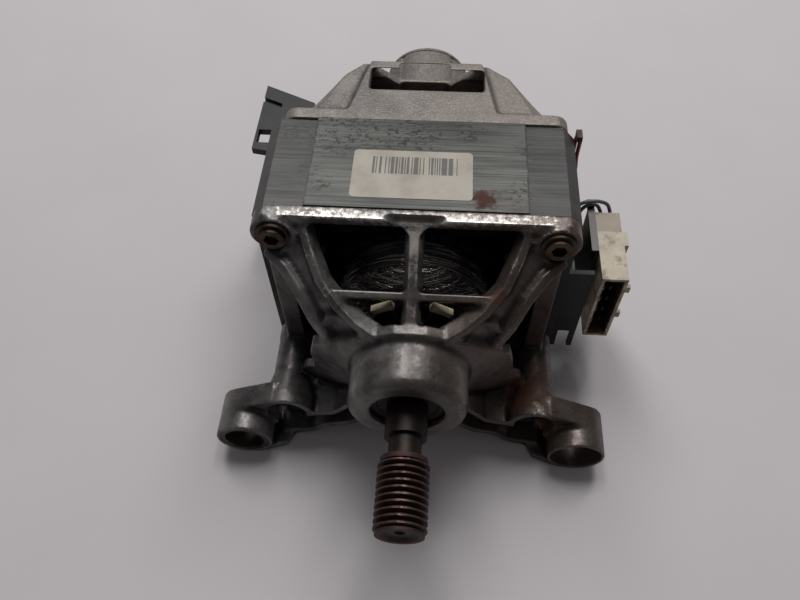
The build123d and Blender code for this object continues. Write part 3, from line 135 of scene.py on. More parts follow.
def noise(tree, size_mm, detail=3.0, rough=0.55, stretch=(1, 1, 1), shift=0.0):
    """Cloudy value with features of a real size, longer along a stretched axis."""
    scale = [1 / (size_mm * MM * s) for s in stretch]
    place = {"Vector": position(tree), "Scale": scale, "Location": (shift, shift, shift)}
    mapped = add(tree, "ShaderNodeMapping", place).outputs["Vector"]
    cloud = {"Vector": mapped, "Scale": 1.0, "Detail": detail, "Roughness": rough}
    return add(tree, "ShaderNodeTexNoise", cloud).outputs["Fac"]


def step(tree, value, low, high, to_low=0.0, to_high=1.0):
    """Value carried smoothly from one range to another."""
    ranges = {"Value": value, "From Min": low, "From Max": high, "To Min": to_low, "To Max": to_high}
    return add(tree, "ShaderNodeMapRange", ranges, interpolation_type="SMOOTHSTEP").outputs["Result"]


def calc(tree, operation, a, b=0.0):
    """Sum, product or other arithmetic on two values."""
    node = add(tree, "ShaderNodeMath", operation=operation)
    for index, value in enumerate((a, b)):
        if isinstance(value, bpy.types.NodeSocket):
            tree.links.new(value, node.inputs[index])
        else:
            node.inputs[index].default_value = value
    return node.outputs[0]


def swing(tree, value, reach):
    """Noise moved and stretched so that it swings either side of 0."""
    return calc(tree, "MULTIPLY", calc(tree, "SUBTRACT", value, 0.5), reach)


def within(tree, value, place, limits_mm):
    """Value kept between limits along named axes, and 0 outside them."""
    for axis, (low, high) in limits_mm.items():
        value = calc(tree, "MULTIPLY", value, calc(tree, "GREATER_THAN", place[axis], low * MM))
        value = calc(tree, "MULTIPLY", value, calc(tree, "LESS_THAN", place[axis], high * MM))
    return value


def blend(tree, share, first, second):
    """Colour between two colours."""
    node = add(tree, "ShaderNodeMix", data_type="RGBA")
    for index, value in ((0, share), (6, first), (7, second)):
        if isinstance(value, bpy.types.NodeSocket):
            tree.links.new(value, node.inputs[index])
        elif isinstance(value, str):
            node.inputs[index].default_value = linear(value)
        else:
            node.inputs[index].default_value = value
    return node.outputs[2]


def mottled(tree, cloud, first, second, low=0.3, high=0.7):
    """Colour that wanders between two colours with a cloud."""
    return blend(tree, step(tree, cloud, low, high), first, second)


def painted(tree, name):
    """Value written on the mesh under a name, 0 where there is none."""
    return add(tree, "ShaderNodeAttribute", attribute_name=name).outputs["Fac"]


def relief(tree, height, depth_mm, strength=1.0, before=None):
    """Surface normal disturbed by a height of a real depth."""
    links = {"Height": height, "Distance": depth_mm * MM, "Strength": strength}
    if before is not None:
        links["Normal"] = before
    return add(tree, "ShaderNodeBump", links).outputs["Normal"]


def finish(made, tree, color, rough, metal=0.0, normal=None, coat=0.0, specular=0.5):
    """Surface that closes a material."""
    links = {"Base Color": color, "Roughness": rough, "Metallic": metal}
    links["Coat Weight"] = coat
    links["Specular IOR Level"] = specular
    if normal is not None:
        links["Normal"] = normal
    surface = add(tree, "ShaderNodeBsdfPrincipled", links)
    output = add(tree, "ShaderNodeOutputMaterial")
    tree.links.new(surface.outputs["BSDF"], output.inputs["Surface"])
    return made


# Looks

grease_black = "#100d0b"

# Rust: size of its grain and of its patches of tone, in mm.
rust_grain = 3.0
rust_patch = 5.0


def rusted(tree, color, extra=0.0):
    """Brown rust laid over a colour where the mesh is marked as rusty, broken up by grain."""
    grain = noise(tree, rust_grain, detail=6.0, rough=0.65, shift=7.0)
    amount = calc(tree, "ADD", painted(tree, "rust"), extra)
    share = step(tree, calc(tree, "ADD", amount, swing(tree, grain, 1.3)), 0.35, 0.85)
    tone = blend(tree, noise(tree, rust_patch, detail=4.0, rough=0.6, shift=3.0), "#26150e", "#5d3822")
    return blend(tree, share, color, tone), share


# Laminations in mm: the line of one sheet, bands of a few sheets, stains, pits in the varnish, and breaks in
# the painted shadow along the raised band's step. A sheet is 0.5 thick, and its line is drawn wider so that
# it shows.
sheet_line = 0.6
sheet_band = 2.4
sheet_stain = 22.0
varnish_pit = 1.3
step_shadow_break = 2.0
# How many times longer across the shaft than along it these are.
line_stretch = (60, 1, 60)
band_stretch = (16, 1, 16)
stain_stretch = (1.6, 1, 1.6)
pit_stretch = (1.8, 1, 1.8)
# How deep a line is, and where the painted shadow along the band's step and the painted shade on the stack's
# sides past the band's edge begin and end.
line_depth = 0.05
step_shadow_from = 0.15
step_shadow_to = 0.75
side_shade_from = -0.6
side_shade_to = 0.2
# Half the raised band's width, and a width past every piece for a stack without one.
raised_band = 39.6
no_band = 200.0


def lamination_steel(name, light, dark, pale, band_mm=no_band):
    """Edges of stacked electrical sheet: fine lines square to the shaft, with painted shade on its sides past
    its raised band and a painted shadow along the band's step.
    """
    made, tree = material(name)
    lines = noise(tree, sheet_line, detail=2.0, rough=0.6, stretch=line_stretch)
    bands = noise(tree, sheet_band, detail=3.0, rough=0.6, stretch=band_stretch, shift=4.0)
    stains = noise(tree, sheet_stain, detail=5.0, rough=0.6, stretch=stain_stretch, shift=9.0)
    mixed = calc(tree, "ADD", calc(tree, "MULTIPLY", lines, 0.45), calc(tree, "MULTIPLY", bands, 0.35))
    mixed = calc(tree, "ADD", mixed, calc(tree, "MULTIPLY", stains, 0.35))
    color = mottled(tree, mixed, dark, light, 0.42, 0.74)
    color = blend(tree, step(tree, lines, 0.60, 0.80, 0.0, 0.4), color, pale)
    across = calc(tree, "ABSOLUTE", axes(tree)["X"])
    # Painted shade: the stack's sides past the raised band are darkened by up to half, towards near black.
    side_shade = step(tree, across, (band_mm + side_shade_from) * MM, (band_mm + side_shade_to) * MM, 0.0, 0.5)
    color = blend(tree, side_shade, color, "#120f0e")
    # Painted shadow: a broken dark line along the raised band's step.
    off_step = calc(tree, "ABSOLUTE", calc(tree, "SUBTRACT", across, band_mm * MM))
    uneven = step(tree, noise(tree, step_shadow_break, detail=4.0, rough=0.6, shift=13.0), 0.35, 0.6)
    step_shadow = calc(tree, "MULTIPLY", step(tree, off_step, step_shadow_from * MM, step_shadow_to * MM, 1.0, 0.0), uneven)
    color = blend(tree, step_shadow, color, "#1c1513")
    pitting = noise(tree, varnish_pit, detail=5.0, rough=0.7, stretch=pit_stretch, shift=2.0)
    pits = step(tree, pitting, 0.53, 0.57)
    where = step(tree, painted(tree, "grime"), 0.1, 0.5)
    color = blend(tree, calc(tree, "MULTIPLY", pits, where), color, "#1d1a19")
    color, rust = rusted(tree, color)
    # Painted shade: the stack's faces inside its outline, deep in the motor, are painted near black.
    color = blend(tree, painted(tree, "inner_shade"), color, "#0b0a0a")
    rough = step(tree, rust, 0.0, 1.0, 0.40, 0.85)
    metal = step(tree, rust, 0.0, 1.0, 0.45, 0.0)
    return finish(made, tree, color, rough, metal, relief(tree, lines, line_depth, 0.6))


# Castings in mm: tone, sandy grain, the breaks in rubbed edges and painted highlights, and patches of sheen.
cast_cloud = 12.0
cast_grain = 0.9
bright_break = 1.9
sheen_patch = 3.5
# How deep the grain would be at full strength and how deep the skin's waves are.
grain_depth = 0.5
cast_wave_depth = 0.3
# Where the brown soiling of the connector's side begins and is full, and how far its edge wanders.
soil_from = -20.0
soil_to = 30.0
soil_wander = 40.0


def cast_aluminium(name, dark, light, worn_and_highlight, soiled, grain_share, grease, rough, metal_share):
    """Pressure die casting: sandy skin, browner to the right, greasy in hollows, rubbed bright on edges, with
    painted highlights on listed spots.
    """
    made, tree = material(name)
    cloud = noise(tree, cast_cloud, detail=5.0, rough=0.6)
    grain = noise(tree, cast_grain, detail=3.0, rough=0.6, shift=5.0)
    color = mottled(tree, cloud, dark, light)
    across = calc(tree, "ADD", axes(tree)["X"], swing(tree, cloud, soil_wander * MM))
    color = blend(tree, step(tree, across, soil_from * MM, soil_to * MM, 0.0, 0.75), color, soiled)
    color = blend(tree, step(tree, grain, 0.45, 0.78, 0.0, grain_share), color, worn_and_highlight)
    edge = calc(tree, "ADD", painted(tree, "wear"), painted(tree, "rub_and_highlight"))
    broken = swing(tree, noise(tree, bright_break, detail=5.0, rough=0.7, shift=1.0), 1.6)
    # Painted highlight: worn edges, rubbed spots and painted highlight spots are blended to the pale colour.
    bright = step(tree, calc(tree, "ADD", edge, broken), 0.35, 1.0)
    color = blend(tree, bright, color, worn_and_highlight)
    hollow = step(tree, calc(tree, "MULTIPLY", edge, -1.0), 0.10, 0.75, 0.0, grease)
    color = blend(tree, hollow, color, grease_black)
    color = blend(tree, painted(tree, "grease_film"), color, grease_black)
    color = blend(tree, step(tree, painted(tree, "green_dot"), 0.45, 0.55, 0.0, 0.85), color, "#1f7a5a")
    color = blend(tree, step(tree, painted(tree, "blue_mark"), 0.3, 0.8, 0.0, 0.35), color, "#4a5a9a")
    color, rust = rusted(tree, color)
    sheen = step(tree, noise(tree, sheen_patch, detail=4.0, rough=0.6, shift=15.0), 0.35, 0.65, -0.09, 0.09)
    rough = calc(tree, "ADD", rough, sheen)
    rough = calc(tree, "ADD", rough, calc(tree, "MULTIPLY", rust, 0.4))
    rough = calc(tree, "SUBTRACT", rough, calc(tree, "MULTIPLY", bright, 0.1))
    shine = calc(tree, "ADD", metal_share, calc(tree, "MULTIPLY", bright, 0.3))
    metal = calc(tree, "MULTIPLY", calc(tree, "SUBTRACT", 1.0, rust), shine)
    normal = relief(tree, grain, grain_depth * grain_share, 0.7)
    normal = relief(tree, cloud, cast_wave_depth, 0.4, normal)
    return finish(made, tree, color, rough, metal, normal)


def from_shaft(tree):
    """Distance from the shaft axis, in metres."""
    place = axes(tree)
    square = calc(tree, "ADD", calc(tree, "POWER", place["X"], 2.0), calc(tree, "POWER", place["Z"], 2.0))
    return calc(tree, "SQRT", square)


# Turned steel in mm: patches of brown, turning marks, breaks in the rubbed crests and their painted
# highlight, and their depths.
brown_patch = 4.0
turning_mark = 0.35
turning_stretch = (60, 1, 60)
crest_break = 1.6
turning_depth = 0.03
brown_depth = 0.08
# How far down from its crest a rib is rubbed and painted with a highlight.
crest_rub_and_highlight = 0.25


def browned_steel(name, base, light, rub_and_highlight=None, crest_mm=0.0):
    """Turned steel gone brown with rust, rubbed bright where a belt or a hand meets it, and painted with a
    highlight there.
    """
    made, tree = material(name)
    cloud = noise(tree, brown_patch, detail=6.0, rough=0.65)
    turning = noise(tree, turning_mark, detail=2.0, rough=0.5, stretch=turning_stretch, shift=2.0)
    color = mottled(tree, cloud, base, light)
    rough = 0.5
    metal = 0.6
    if rub_and_highlight:
        # Painted highlight on the rib crests, together with their rubbing.
        crest = step(tree, from_shaft(tree), (crest_mm - crest_rub_and_highlight) * MM, crest_mm * MM)
        breaks = step(tree, noise(tree, crest_break, detail=4.0, rough=0.6, shift=6.0), 0.38, 0.6)
        share = calc(tree, "MULTIPLY", crest, breaks)
        color = blend(tree, share, color, rub_and_highlight)
        rough = step(tree, share, 0.0, 1.0, 0.62, 0.42)
        metal = step(tree, share, 0.0, 1.0, 0.4, 0.75)
    normal = relief(tree, turning, turning_depth, 0.5)
    normal = relief(tree, cloud, brown_depth, 0.5, normal)
    return finish(made, tree, color, rough, metal, normal)


# Mouldings in mm: flow clouds, stains, the mould's spark grain and its depth.
flow_cloud = 9.0
grease_stain = 7.0
mould_grain = 1.2
mould_depth = 0.02


def mould_skin(tree):
    """Fine grain that the mould leaves on a plastic piece."""
    return relief(tree, noise(tree, mould_grain, detail=2.0, rough=0.5, shift=8.0), mould_depth, 0.5)


def moulding(name, base, light, stain, stained, rough):
    """Injection moulding: faint flow clouds, handling dirt and the stains that grease leaves."""
    made, tree = material(name)
    cloud = noise(tree, flow_cloud, detail=4.0, rough=0.6)
    color = mottled(tree, cloud, base, light)
    least = 0.74 - 0.3 * stained
    greasy = noise(tree, grease_stain, detail=5.0, rough=0.65, shift=11.0)
    spots = step(tree, greasy, least, least + 0.18, 0.0, 0.85)
    color, _ = rusted(tree, blend(tree, spots, color, stain))
    rough = step(tree, cloud, 0.2, 0.8, rough - 0.06, rough + 0.08)
    return finish(made, tree, color, rough, 0.0, mould_skin(tree))


# Connector in mm: yellowing, stains, its walls round the socket's mouth, and where the painted shade in the
# mouth begins and is full, from the socket's front.
yellow_cloud = 6.0
brown_stain = 6.5
inner_wall = 1.4
outer_wall = 2.7
end_wall = 1.1
mouth_shade_begins = -1.8
mouth_shade_full = 3.6


def connector_moulding(name, base, light, stain):
    """Pale polyamide, stained brown along its edges, with painted shade inside the socket."""
    made, tree = material(name)
    cloud = noise(tree, yellow_cloud, detail=4.0, rough=0.6)
    color = mottled(tree, cloud, base, light)
    low, high = box_mm("connector_socket")
    place = axes(tree)
    mouth_shade = step(tree, place["Y"], (low[1] + mouth_shade_begins) * MM, (low[1] + mouth_shade_full) * MM)
    across = (low[0] + inner_wall, high[0] - outer_wall)
    up = (low[2] + end_wall, high[2] - end_wall)
    mouth_shade = within(tree, mouth_shade, place, {"X": across, "Z": up})
    spots = step(tree, noise(tree, brown_stain, detail=6.0, rough=0.7, shift=11.0), 0.46, 0.62, 0.0, 0.75)
    color = blend(tree, spots, color, stain)
    # Painted shade inside the socket's mouth.
    color = blend(tree, mouth_shade, color, "#3a2c25")
    return finish(made, tree, color, step(tree, cloud, 0.2, 0.8, 0.38, 0.5), 0.0, mould_skin(tree))


# Cream end piece in mm: its tone, and the radii between which its petals are neither greasy nor varnished.
cream_cloud = 3.0
grease_ends = (19.8, 20.8)
varnish_begins = (23.0, 24.0)


def cream_moulding(name):
    """Cream moulding, clean only on its petals: grease reaches it from the shaft and varnish from outside."""
    made, tree = material(name)
    radius = from_shaft(tree)
    color = mottled(tree, noise(tree, cream_cloud, detail=4.0, rough=0.6), "#a89c80", "#c9bfa2", 0.3, 0.75)
    greasy = step(tree, radius, grease_ends[0] * MM, grease_ends[1] * MM, 1.0, 0.0)
    varnished = step(tree, radius, varnish_begins[0] * MM, varnish_begins[1] * MM)
    color = blend(tree, calc(tree, "MAXIMUM", greasy, varnished), color, "#0f0c0a")
    return finish(made, tree, color, 0.45)


# Bright metal in mm: dull patches, scratches and their depth.
dull_patch = 6.0
scratch = 0.4
scratch_stretch = (14, 1, 14)
scratch_depth = 0.02


def bright_metal(name, base, light, rough, rust=0.0):
    """Plated, ground or drawn metal with fine scratches, dulled in patches."""
    made, tree = material(name)
    cloud = noise(tree, dull_patch, detail=5.0, rough=0.6)
    scratches = noise(tree, scratch, detail=3.0, rough=0.6, stretch=scratch_stretch, shift=3.0)
    color, share = rusted(tree, mottled(tree, cloud, base, light), rust)
    dulled = step(tree, cloud, 0.2, 0.8, rough, rough + 0.18)
    metal = step(tree, share, 0.0, 1.0, 0.9, 0.1)
    return finish(made, tree, color, dulled, metal, relief(tree, scratches, scratch_depth, 0.5))


# Patches of thicker varnish on the wires, in mm.
varnish_patch = 5.0


def enamelled_wire(name):
    """Copper wire under dark baked varnish: nearly black, and wet looking where a wire lies on top."""
    made, tree = material(name)
    color = mottled(tree, noise(tree, varnish_patch, detail=3.0, rough=0.6), "#0c0a0a", "#1d1715", 0.35, 0.7)
    gloss = step(tree, painted(tree, "gloss"), 0.3, 0.9)
    color = blend(tree, gloss, color, "#8d8580")
    rough = step(tree, gloss, 0.0, 1.0, 0.4, 0.2)
    metal = step(tree, gloss, 0.0, 1.0, 0.2, 0.9)
    return finish(made, tree, color, rough, metal, coat=0.1)


# Label in mm: its greying, its smears, the width of a printed bar, and the margins round the bars.
label_cloud = 8.0
label_smear = 3.0
smear_stretch = (2, 1, 1)
bar_width = 0.42
left_margin = 5.95
right_margin = 5.55
front_margin = 11.7
rear_margin = 3.2


def label_paper(name):
    """Satin film label, greyed by grease, with generic printed bars and nothing that can be read."""
    made, tree = material(name)
    color = mottled(tree, noise(tree, label_cloud, detail=5.0, rough=0.6), "#a8a093", "#938b7e", 0.35, 0.75)
    low, high = box_mm("label")
    place = axes(tree)
    column = calc(tree, "FLOOR", calc(tree, "MULTIPLY", place["X"], 1 / (bar_width * MM)))
    dice = add(tree, "ShaderNodeTexWhiteNoise", {"W": column}, noise_dimensions="1D").outputs["Value"]
    across = (low[0] + left_margin, high[0] - right_margin)
    along = (low[1] + front_margin, high[1] - rear_margin)
    bars = within(tree, calc(tree, "LESS_THAN", dice, 0.52), place, {"X": across, "Y": along})
    color = blend(tree, calc(tree, "MULTIPLY", bars, 0.82), color, "#2c2b2c")
    wiped = noise(tree, label_smear, detail=5.0, rough=0.7, stretch=smear_stretch, shift=4.0)
    smear = step(tree, wiped, 0.58, 0.8, 0.0, 0.45)
    color = blend(tree, smear, color, "#6d675f")
    return finish(made, tree, color, 0.45)


pulley_radius = box_mm("pulley")[1][0]

looks = {
    # Edges of dark varnished sheet: grey, finely lined and half shiny.
    "stator_laminations": lamination_steel(
        "electrical sheet stack", "#545450", "#262624", "#6b6a66", raised_band),
    # The same sheet under more varnish: nearly black.
    "rotor_laminations": lamination_steel("varnished rotor sheet", "#2c2b2c", "#151415", "#3a3a3a"),
    # Casting handled with oily hands: dark, smooth and wet looking, bright where it is rubbed and where
    # highlights are painted.
    "front_cast_aluminium": cast_aluminium(
        "greasy die cast aluminium", "#3c3938", "#726e6c", "#d2ccc5", "#483a32",
        grain_share=0.08, grease=0.88, rough=0.38, metal_share=0.5),
    # Casting as it left the die: light, sandy and matt.
    "rear_cast_aluminium": cast_aluminium(
        "dry die cast aluminium", "#5f5a56", "#7d7773", "#b5ada4", "#786e66",
        grain_share=0.45, grease=0.6, rough=0.5, metal_share=0.3),
    # Rust brown grooves between ribs, with crests that the belt keeps a little brighter and a painted
    # highlight on them.
    "pulley_steel": browned_steel("rusted turned pulley", "#221412", "#3d231d", "#57443c", pulley_radius),
    # Ground steel gone dark brown and dull.
    "shaft_steel": browned_steel("browned shaft steel", "#140e0b", "#281c16"),
    # Black wires with single bright lines where the light catches one.
    "enamelled_copper": enamelled_wire("dark enamelled copper"),
    # Warm cream tips in a dark hollow.
    "cream_moulding": cream_moulding("cream insulator moulding"),
    # Brown red metal, smoothed by the brushes.
    "commutator_copper": bright_metal("worn commutator copper", "#7a4a34", "#96624a", 0.35),
    # Brown black and half matt.
    "dark_moulding": moulding("dark phenolic moulding", "#141110", "#1f1a18", "#0b0908", 0.4, 0.5),
    # Even dark grey with a dull metal sheen.
    "magnet": bright_metal("sintered magnet", "#2b2b2d", "#3a3a3c", 0.5),
    # Smooth steel under brown grease.
    "bearing_steel": bright_metal("greasy bearing steel", "#1a1512", "#2e2620", 0.4),
    # Black and matt.
    "black_rubber": moulding("black seal rubber", "#0e0d0d", "#171616", "#2a1f18", 0.5, 0.6),
    # Brown steel with a soft shine and rust in its recess.
    "screw_steel": bright_metal("oiled screw steel", "#30271f", "#574a3f", 0.42, 0.2),
    # Plain grey steel, half shiny.
    "bush_steel": bright_metal("dull bush steel", "#3a3633", "#5b5652", 0.45),
    # Almost black and matt, browner where it is stained.
    "black_brown_moulding": moulding("brown black polyamide", "#0c0908", "#17110f", "#3a2318", 0.5, 0.62),
    # Thin plated sheet with a soft mirror shine.
    "bracket_steel": bright_metal("plated bracket sheet", "#3c3a38", "#54524f", 0.34),
    # Yellowed plastic with a soft shine and brown stains.
    "ivory_moulding": connector_moulding("ivory polyamide", "#a2957f", "#bdb29b", "#5a3f2a"),
    # The same plastic, a little greyer and darker.
    "white_moulding": connector_moulding("white polyamide", "#857866", "#998a76", "#644630"),
    # Dull brown metal.
    "pin_metal": bright_metal("tarnished terminal", "#2c2520", "#51473e", 0.42),
    # Soft grey with a low shine.
    "grey_insulation": moulding("grey lead insulation", "#464648", "#5f5f62", "#2c2a29", 0.2, 0.45),
    # Soft dark red with a low shine.
    "red_insulation": moulding("red lead insulation", "#7a2029", "#9a3038", "#4a1a1f", 0.2, 0.45),
    # Dark grey and matt.
    "grey_moulding": moulding("mid grey polypropylene", "#1d1d1d", "#292828", "#121111", 0.3, 0.6),
    # Beige film with dark bars.
    "label_paper": label_paper("satin label film"),
    # Yellow metal with fine lines along it.
    "brass_tube": bright_metal("drawn brass tube", "#8a6a34", "#a9854a", 0.35),
    # Black with the faint shine of graphite.
    "carbon": moulding("pressed carbon", "#0e0e0f", "#19191a", "#0a0a0a", 0.2, 0.55),
    # Light grey and shiny.
    "spring_steel": bright_metal("coil spring steel", "#7c7a77", "#96938f", 0.35),
}

slot_of = {part["node"]: part["material_slot"] for part in frame["record"]["subparts"]}


def dress(piece, slot):
    """Piece painted with the look of a material slot."""
    piece.data.materials.clear()
    piece.data.materials.append(looks[slot])


# Marks on the meshes

# Rust: across, along and up in mm, reach in mm, strength.
rust_spots = [
    (46, 58, -18, 12, 1.0), (44, 56, -30, 11, 1.0), (49, 72, -14, 13, 0.9), (57, 50, -41, 9, 0.85),
    (36, 66, 4, 8, 0.55), (52, 62, -24, 13, 0.85), (50, 54, -26, 9, 0.75), (51, 78, 0, 12, 0.5),
    (49, 80, -20, 11, 0.7), (54, 47, -30, 7, 0.6), (31, 62, 30, 6, 0.8), (25, 61, 30, 4, 0.4),
    (51, 79, 37, 10, 0.5), (-51, 79, 37, 10, 0.35), (38, 46, -28, 12, 0.55), (60, 46, -36, 10, 0.4),
    (68, 42, -36, 16, 0.32), (42, 58, 12, 8, 0.35), (24, 93, 45, 6, 0.95), (36, 91, 44, 8, 0.5),
    (40, 110, 44, 5, 0.45), (-40, 112, 44, 5, 0.35), (-40, 95, 44, 4, 0.35), (58, 100, 38, 7, 0.4),
    (54, 88, 41, 8, 0.55), (-54, 88, 41, 8, 0.4), (-20, 86, 43, 6, 0.3), (10, 86, 43, 7, 0.45),
    (79, 112, 9, 5, 0.5), (78, 120, 9, 4, 0.6), (66, 92, -18, 12, 0.75), (70, 92, -34, 9, 0.6),
    (78, 92, -20, 9, 0.35), (70, 100, 0, 8, 0.6), (-30, 130, 45, 10, 0.2), (-66, 42, -38, 14, 0.12),
    (0, 46, 20, 8, 0.2), (20, 40, -20, 10, 0.3), (-24, 44, -30, 12, 0.2), (62, 94, -20, 12, 0.35),
]

# Black pits in the stack's varnish, written the same way.
grime_spots = [
    (-30, 128, 45, 14, 1.0), (-14, 127, 45, 12, 1.0), (0, 122, 45, 9, 0.9), (18, 128, 45, 8, 0.6),
    (-40, 105, 45, 5, 0.7), (-34, 98, 45, 6, 0.5), (36, 96, 45, 8, 0.5), (-50, 125, 44, 6, 0.5),
    (40, 118, 45, 6, 0.5),
]

# Where the front casting is rubbed bright and where highlights are painted on it, written the same way.
rub_and_highlight_spots = [
    (-30, 83, 46, 8, 0.7), (-14, 83, 46, 7, 0.7), (14, 83, 46, 8, 0.8), (28, 83, 46, 9, 0.8),
    (44, 84, 45, 8, 0.5), (-46, 84, 45, 7, 0.5), (0, 80, 43, 7, 0.85), (0, 68, 35, 7, 0.35),
    (0, 58, 27, 6, 0.3), (0, 78.6, 39, 6, 1.1), (0, 70, 36, 4, 0.5), (-20, 60, 29, 5, 0.4),
    (16, 60, 29, 5, 0.35), (52, 48, -28, 5, 0.4), (-24, 50, 22, 5, 0.3), (-31, 60, 30, 6, 0.35),
    (20, 32, 6, 6, 0.2), (-44, 70, 38, 6, 0.4), (51, 76, 20, 6, 0.2), (-36, 72, 36, 5, 0.4),
    (36, 72, 36, 5, 0.4), (-40, 80, 42, 5, 0.5),
]

# Where a film of grease darkens the front casting, written the same way.
greasy_spots = [
    (0, 38, 21, 10, 0.5), (-12, 38, 18, 8, 0.3), (12, 38, 18, 8, 0.3), (-41, 61, -20, 4, 0.7),
    (41, 61, -20, 4, 0.4),
]

# A dot of green paint and a rub of blue on the rear casting, written the same way.
green_spots = [(-34.6, 157.4, 39.8, 1.9, 1.0)]
blue_spots = [(-24.1, 140.3, 43.5, 3.5, 1.0)]

# Flash left in the narrow corners of the front casting: across, along, up and radius in mm.
flash_lumps = [
    (-40.2, 60.5, -35.0, 2.3), (40.2, 60.5, -35.0, 2.3), (-54.4, 53.4, -45.4, 2.4), (53.9, 52.9, -45.2, 2.4),
]


def write_value(mesh, name, values):
    """Values written on a mesh's points under a name."""
    layer = mesh.attributes.new(name, "FLOAT", "POINT")
    layer.data.foreach_set("value", values.astype(np.float32))


def points_of(mesh):
    """Point places as an array, in metres."""
    flat = np.empty(len(mesh.vertices) * 3, np.float32)
    mesh.vertices.foreach_get("co", flat)
    return flat.reshape(-1, 3).astype(float)


def spots_at(points, spots):
    """Strength at each point: the strongest of the spots, each falling off as exp(-(d/reach)^2)."""
    value = np.zeros(len(points))
    for x, y, z, reach, strength in spots:
        away = ((points - np.array((x, y, z)) * MM) ** 2).sum(1) / (reach * MM) ** 2
        value = np.maximum(value, strength * np.exp(-away))
    return value


def edges_of(mesh):
    """Pairs of joined points."""
    flat = np.empty(len(mesh.edges) * 2, np.int32)
    mesh.edges.foreach_get("vertices", flat)
    return flat.reshape(-1, 2)


def spread(values, pairs):
    """Each point's value averaged with its neighbours'."""
    total = values.copy()
    number = np.ones(len(values))
    for a, b in ((0, 1), (1, 0)):
        number += np.bincount(pairs[:, a], minlength=len(values))
        for axis in range(values.shape[1]):
            total[:, axis] += np.bincount(pairs[:, a], values[pairs[:, b], axis], len(values))
    return total / number[:, None]


def wear_of(mesh, cell_mm, reach_mm, full_mm):
    """How far a point stands out of the surface smoothed around it: 1 on a sharp edge, -1 in a corner.

    wear = (p - mean(p)) . n / full, where mean is taken over a neighbourhood of a reach in mm.
    """
    points = points_of(mesh)
    pairs = edges_of(mesh)
    normals = np.empty(len(points) * 3, np.float32)
    mesh.vertex_normals.foreach_get("vector", normals)
    smooth = points.copy()
    for _ in range(max(1, round((reach_mm / cell_mm) ** 2))):
        smooth = spread(smooth, pairs)
    out = ((points - smooth) * normals.reshape(-1, 3)).sum(1) / (full_mm * MM)
    return np.clip(spread(out[:, None], pairs)[:, 0], -1, 1)


# Making pieces

def evaluated(piece):
    """Mesh of a piece with its modifiers worked in, which are then taken off."""
    bpy.context.view_layer.update()
    shaped = piece.evaluated_get(bpy.context.evaluated_depsgraph_get())
    mesh = bpy.data.meshes.new_from_object(shaped)
    piece.modifiers.clear()
    piece.data = mesh
    return mesh


def remesh(piece, cell_mm):
    """Even voxels over a piece."""
    voxels = piece.modifiers.new("voxels", "REMESH")
    voxels.mode = "VOXEL"
    voxels.voxel_size = cell_mm * MM


def push(piece, distance_mm):
    """Surface moved along its normals."""
    moved = piece.modifiers.new("push", "DISPLACE")
    moved.strength = distance_mm * MM
    moved.mid_level = 0.0


def placed(name, data):
    """Object for a mesh or a light, at the origin of the scene."""
    piece = bpy.data.objects.new(name, data)
    scene.collection.objects.link(piece)
    return piece


def merged(name, sources, lumps=()):
    """One object from copies of several CAD pieces, with any lumps of metal added in their corners."""
    shape = bmesh.new()
    for source in sources:
        shape.from_mesh(nodes[source].data)
    for x, y, z, radius in lumps:
        place = Matrix.Translation(Vector((x, y, z)) * MM)
        bmesh.ops.create_icosphere(shape, subdivisions=2, radius=radius * MM, matrix=place)
    mesh = bpy.data.meshes.new(name)
    shape.to_mesh(mesh)
    shape.free()
    return placed(name, mesh)


def settle(piece, sources, body):
    """New piece dressed like the CAD pieces that it stands for, and carried by their body."""
    mesh = piece.data
    mesh.shade_smooth()
    points = points_of(mesh)
    write_value(mesh, "rust", spots_at(points, rust_spots))
    dress(piece, slot_of[sources[0]])
    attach(piece, body)
    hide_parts(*sources)
    return points


fine_cell = 0.5
cast_fillet = 1.0
# Rounds of smoothing, and the most triangles that a casting keeps.
relax_rounds = 6
most_triangles = 190000
# How far round a point its wear is judged, and how far it stands out when it is full.
wear_reach = 1.6
full_wear = 0.42


def cast_skin(name, sources, lumps=()):
    """Casting as poured: the CAD body grown, shrunk back and relaxed, so that inner corners get fillets."""
    cell_mm = fine_cell
    skin = merged(name, sources, lumps)
    remesh(skin, cell_mm)
    push(skin, cast_fillet)
    remesh(skin, cell_mm)
    push(skin, -cast_fillet)
    smooth = skin.modifiers.new("relax", "SMOOTH")
    smooth.factor = 0.5
    smooth.iterations = relax_rounds
    mesh = evaluated(skin)
    write_value(mesh, "wear", wear_of(mesh, cell_mm, wear_reach, full_wear))
    triangles = sum(len(face.vertices) - 2 for face in mesh.polygons)
    if triangles > most_triangles:
        thin = skin.modifiers.new("thin", "DECIMATE")
        thin.ratio = most_triangles / triangles
        mesh = evaluated(skin)
    points = settle(skin, sources, "motor")
    # Rubbed spots and painted highlights.
    write_value(mesh, "rub_and_highlight", spots_at(points, rub_and_highlight_spots))
    return mesh, points


# Pieces

for node, piece in nodes.items():
    dress(piece, slot_of[node])


def front_casting():
    """Front shield and its ears as one casting, with a film of grease."""
    sources = ["front_shield", "front_ear_left", "front_ear_right"]
    mesh, points = cast_skin("front_casting", sources, flash_lumps)
    write_value(mesh, "grease_film", spots_at(points, greasy_spots))


def rear_casting():
    """Rear shield and its ears as one casting, with its paint marks."""
    mesh, points = cast_skin("rear_casting", ["rear_shield", "rear_ear_left", "rear_ear_right"])
    write_value(mesh, "green_dot", spots_at(points, green_spots))
    write_value(mesh, "blue_mark", spots_at(points, blue_spots))


front_casting()
rear_casting()


# Stack: its longest edge in mm once divided, and the most rounds of dividing.
longest_edge = 2.4
divide_rounds = 9
# How far inside the stack's top and side the painted shade begins, and over what depth it gets full, in mm.
inner_shade_below = 2.2
inner_shade_beside = 5.5
inner_shade_fade = 0.5


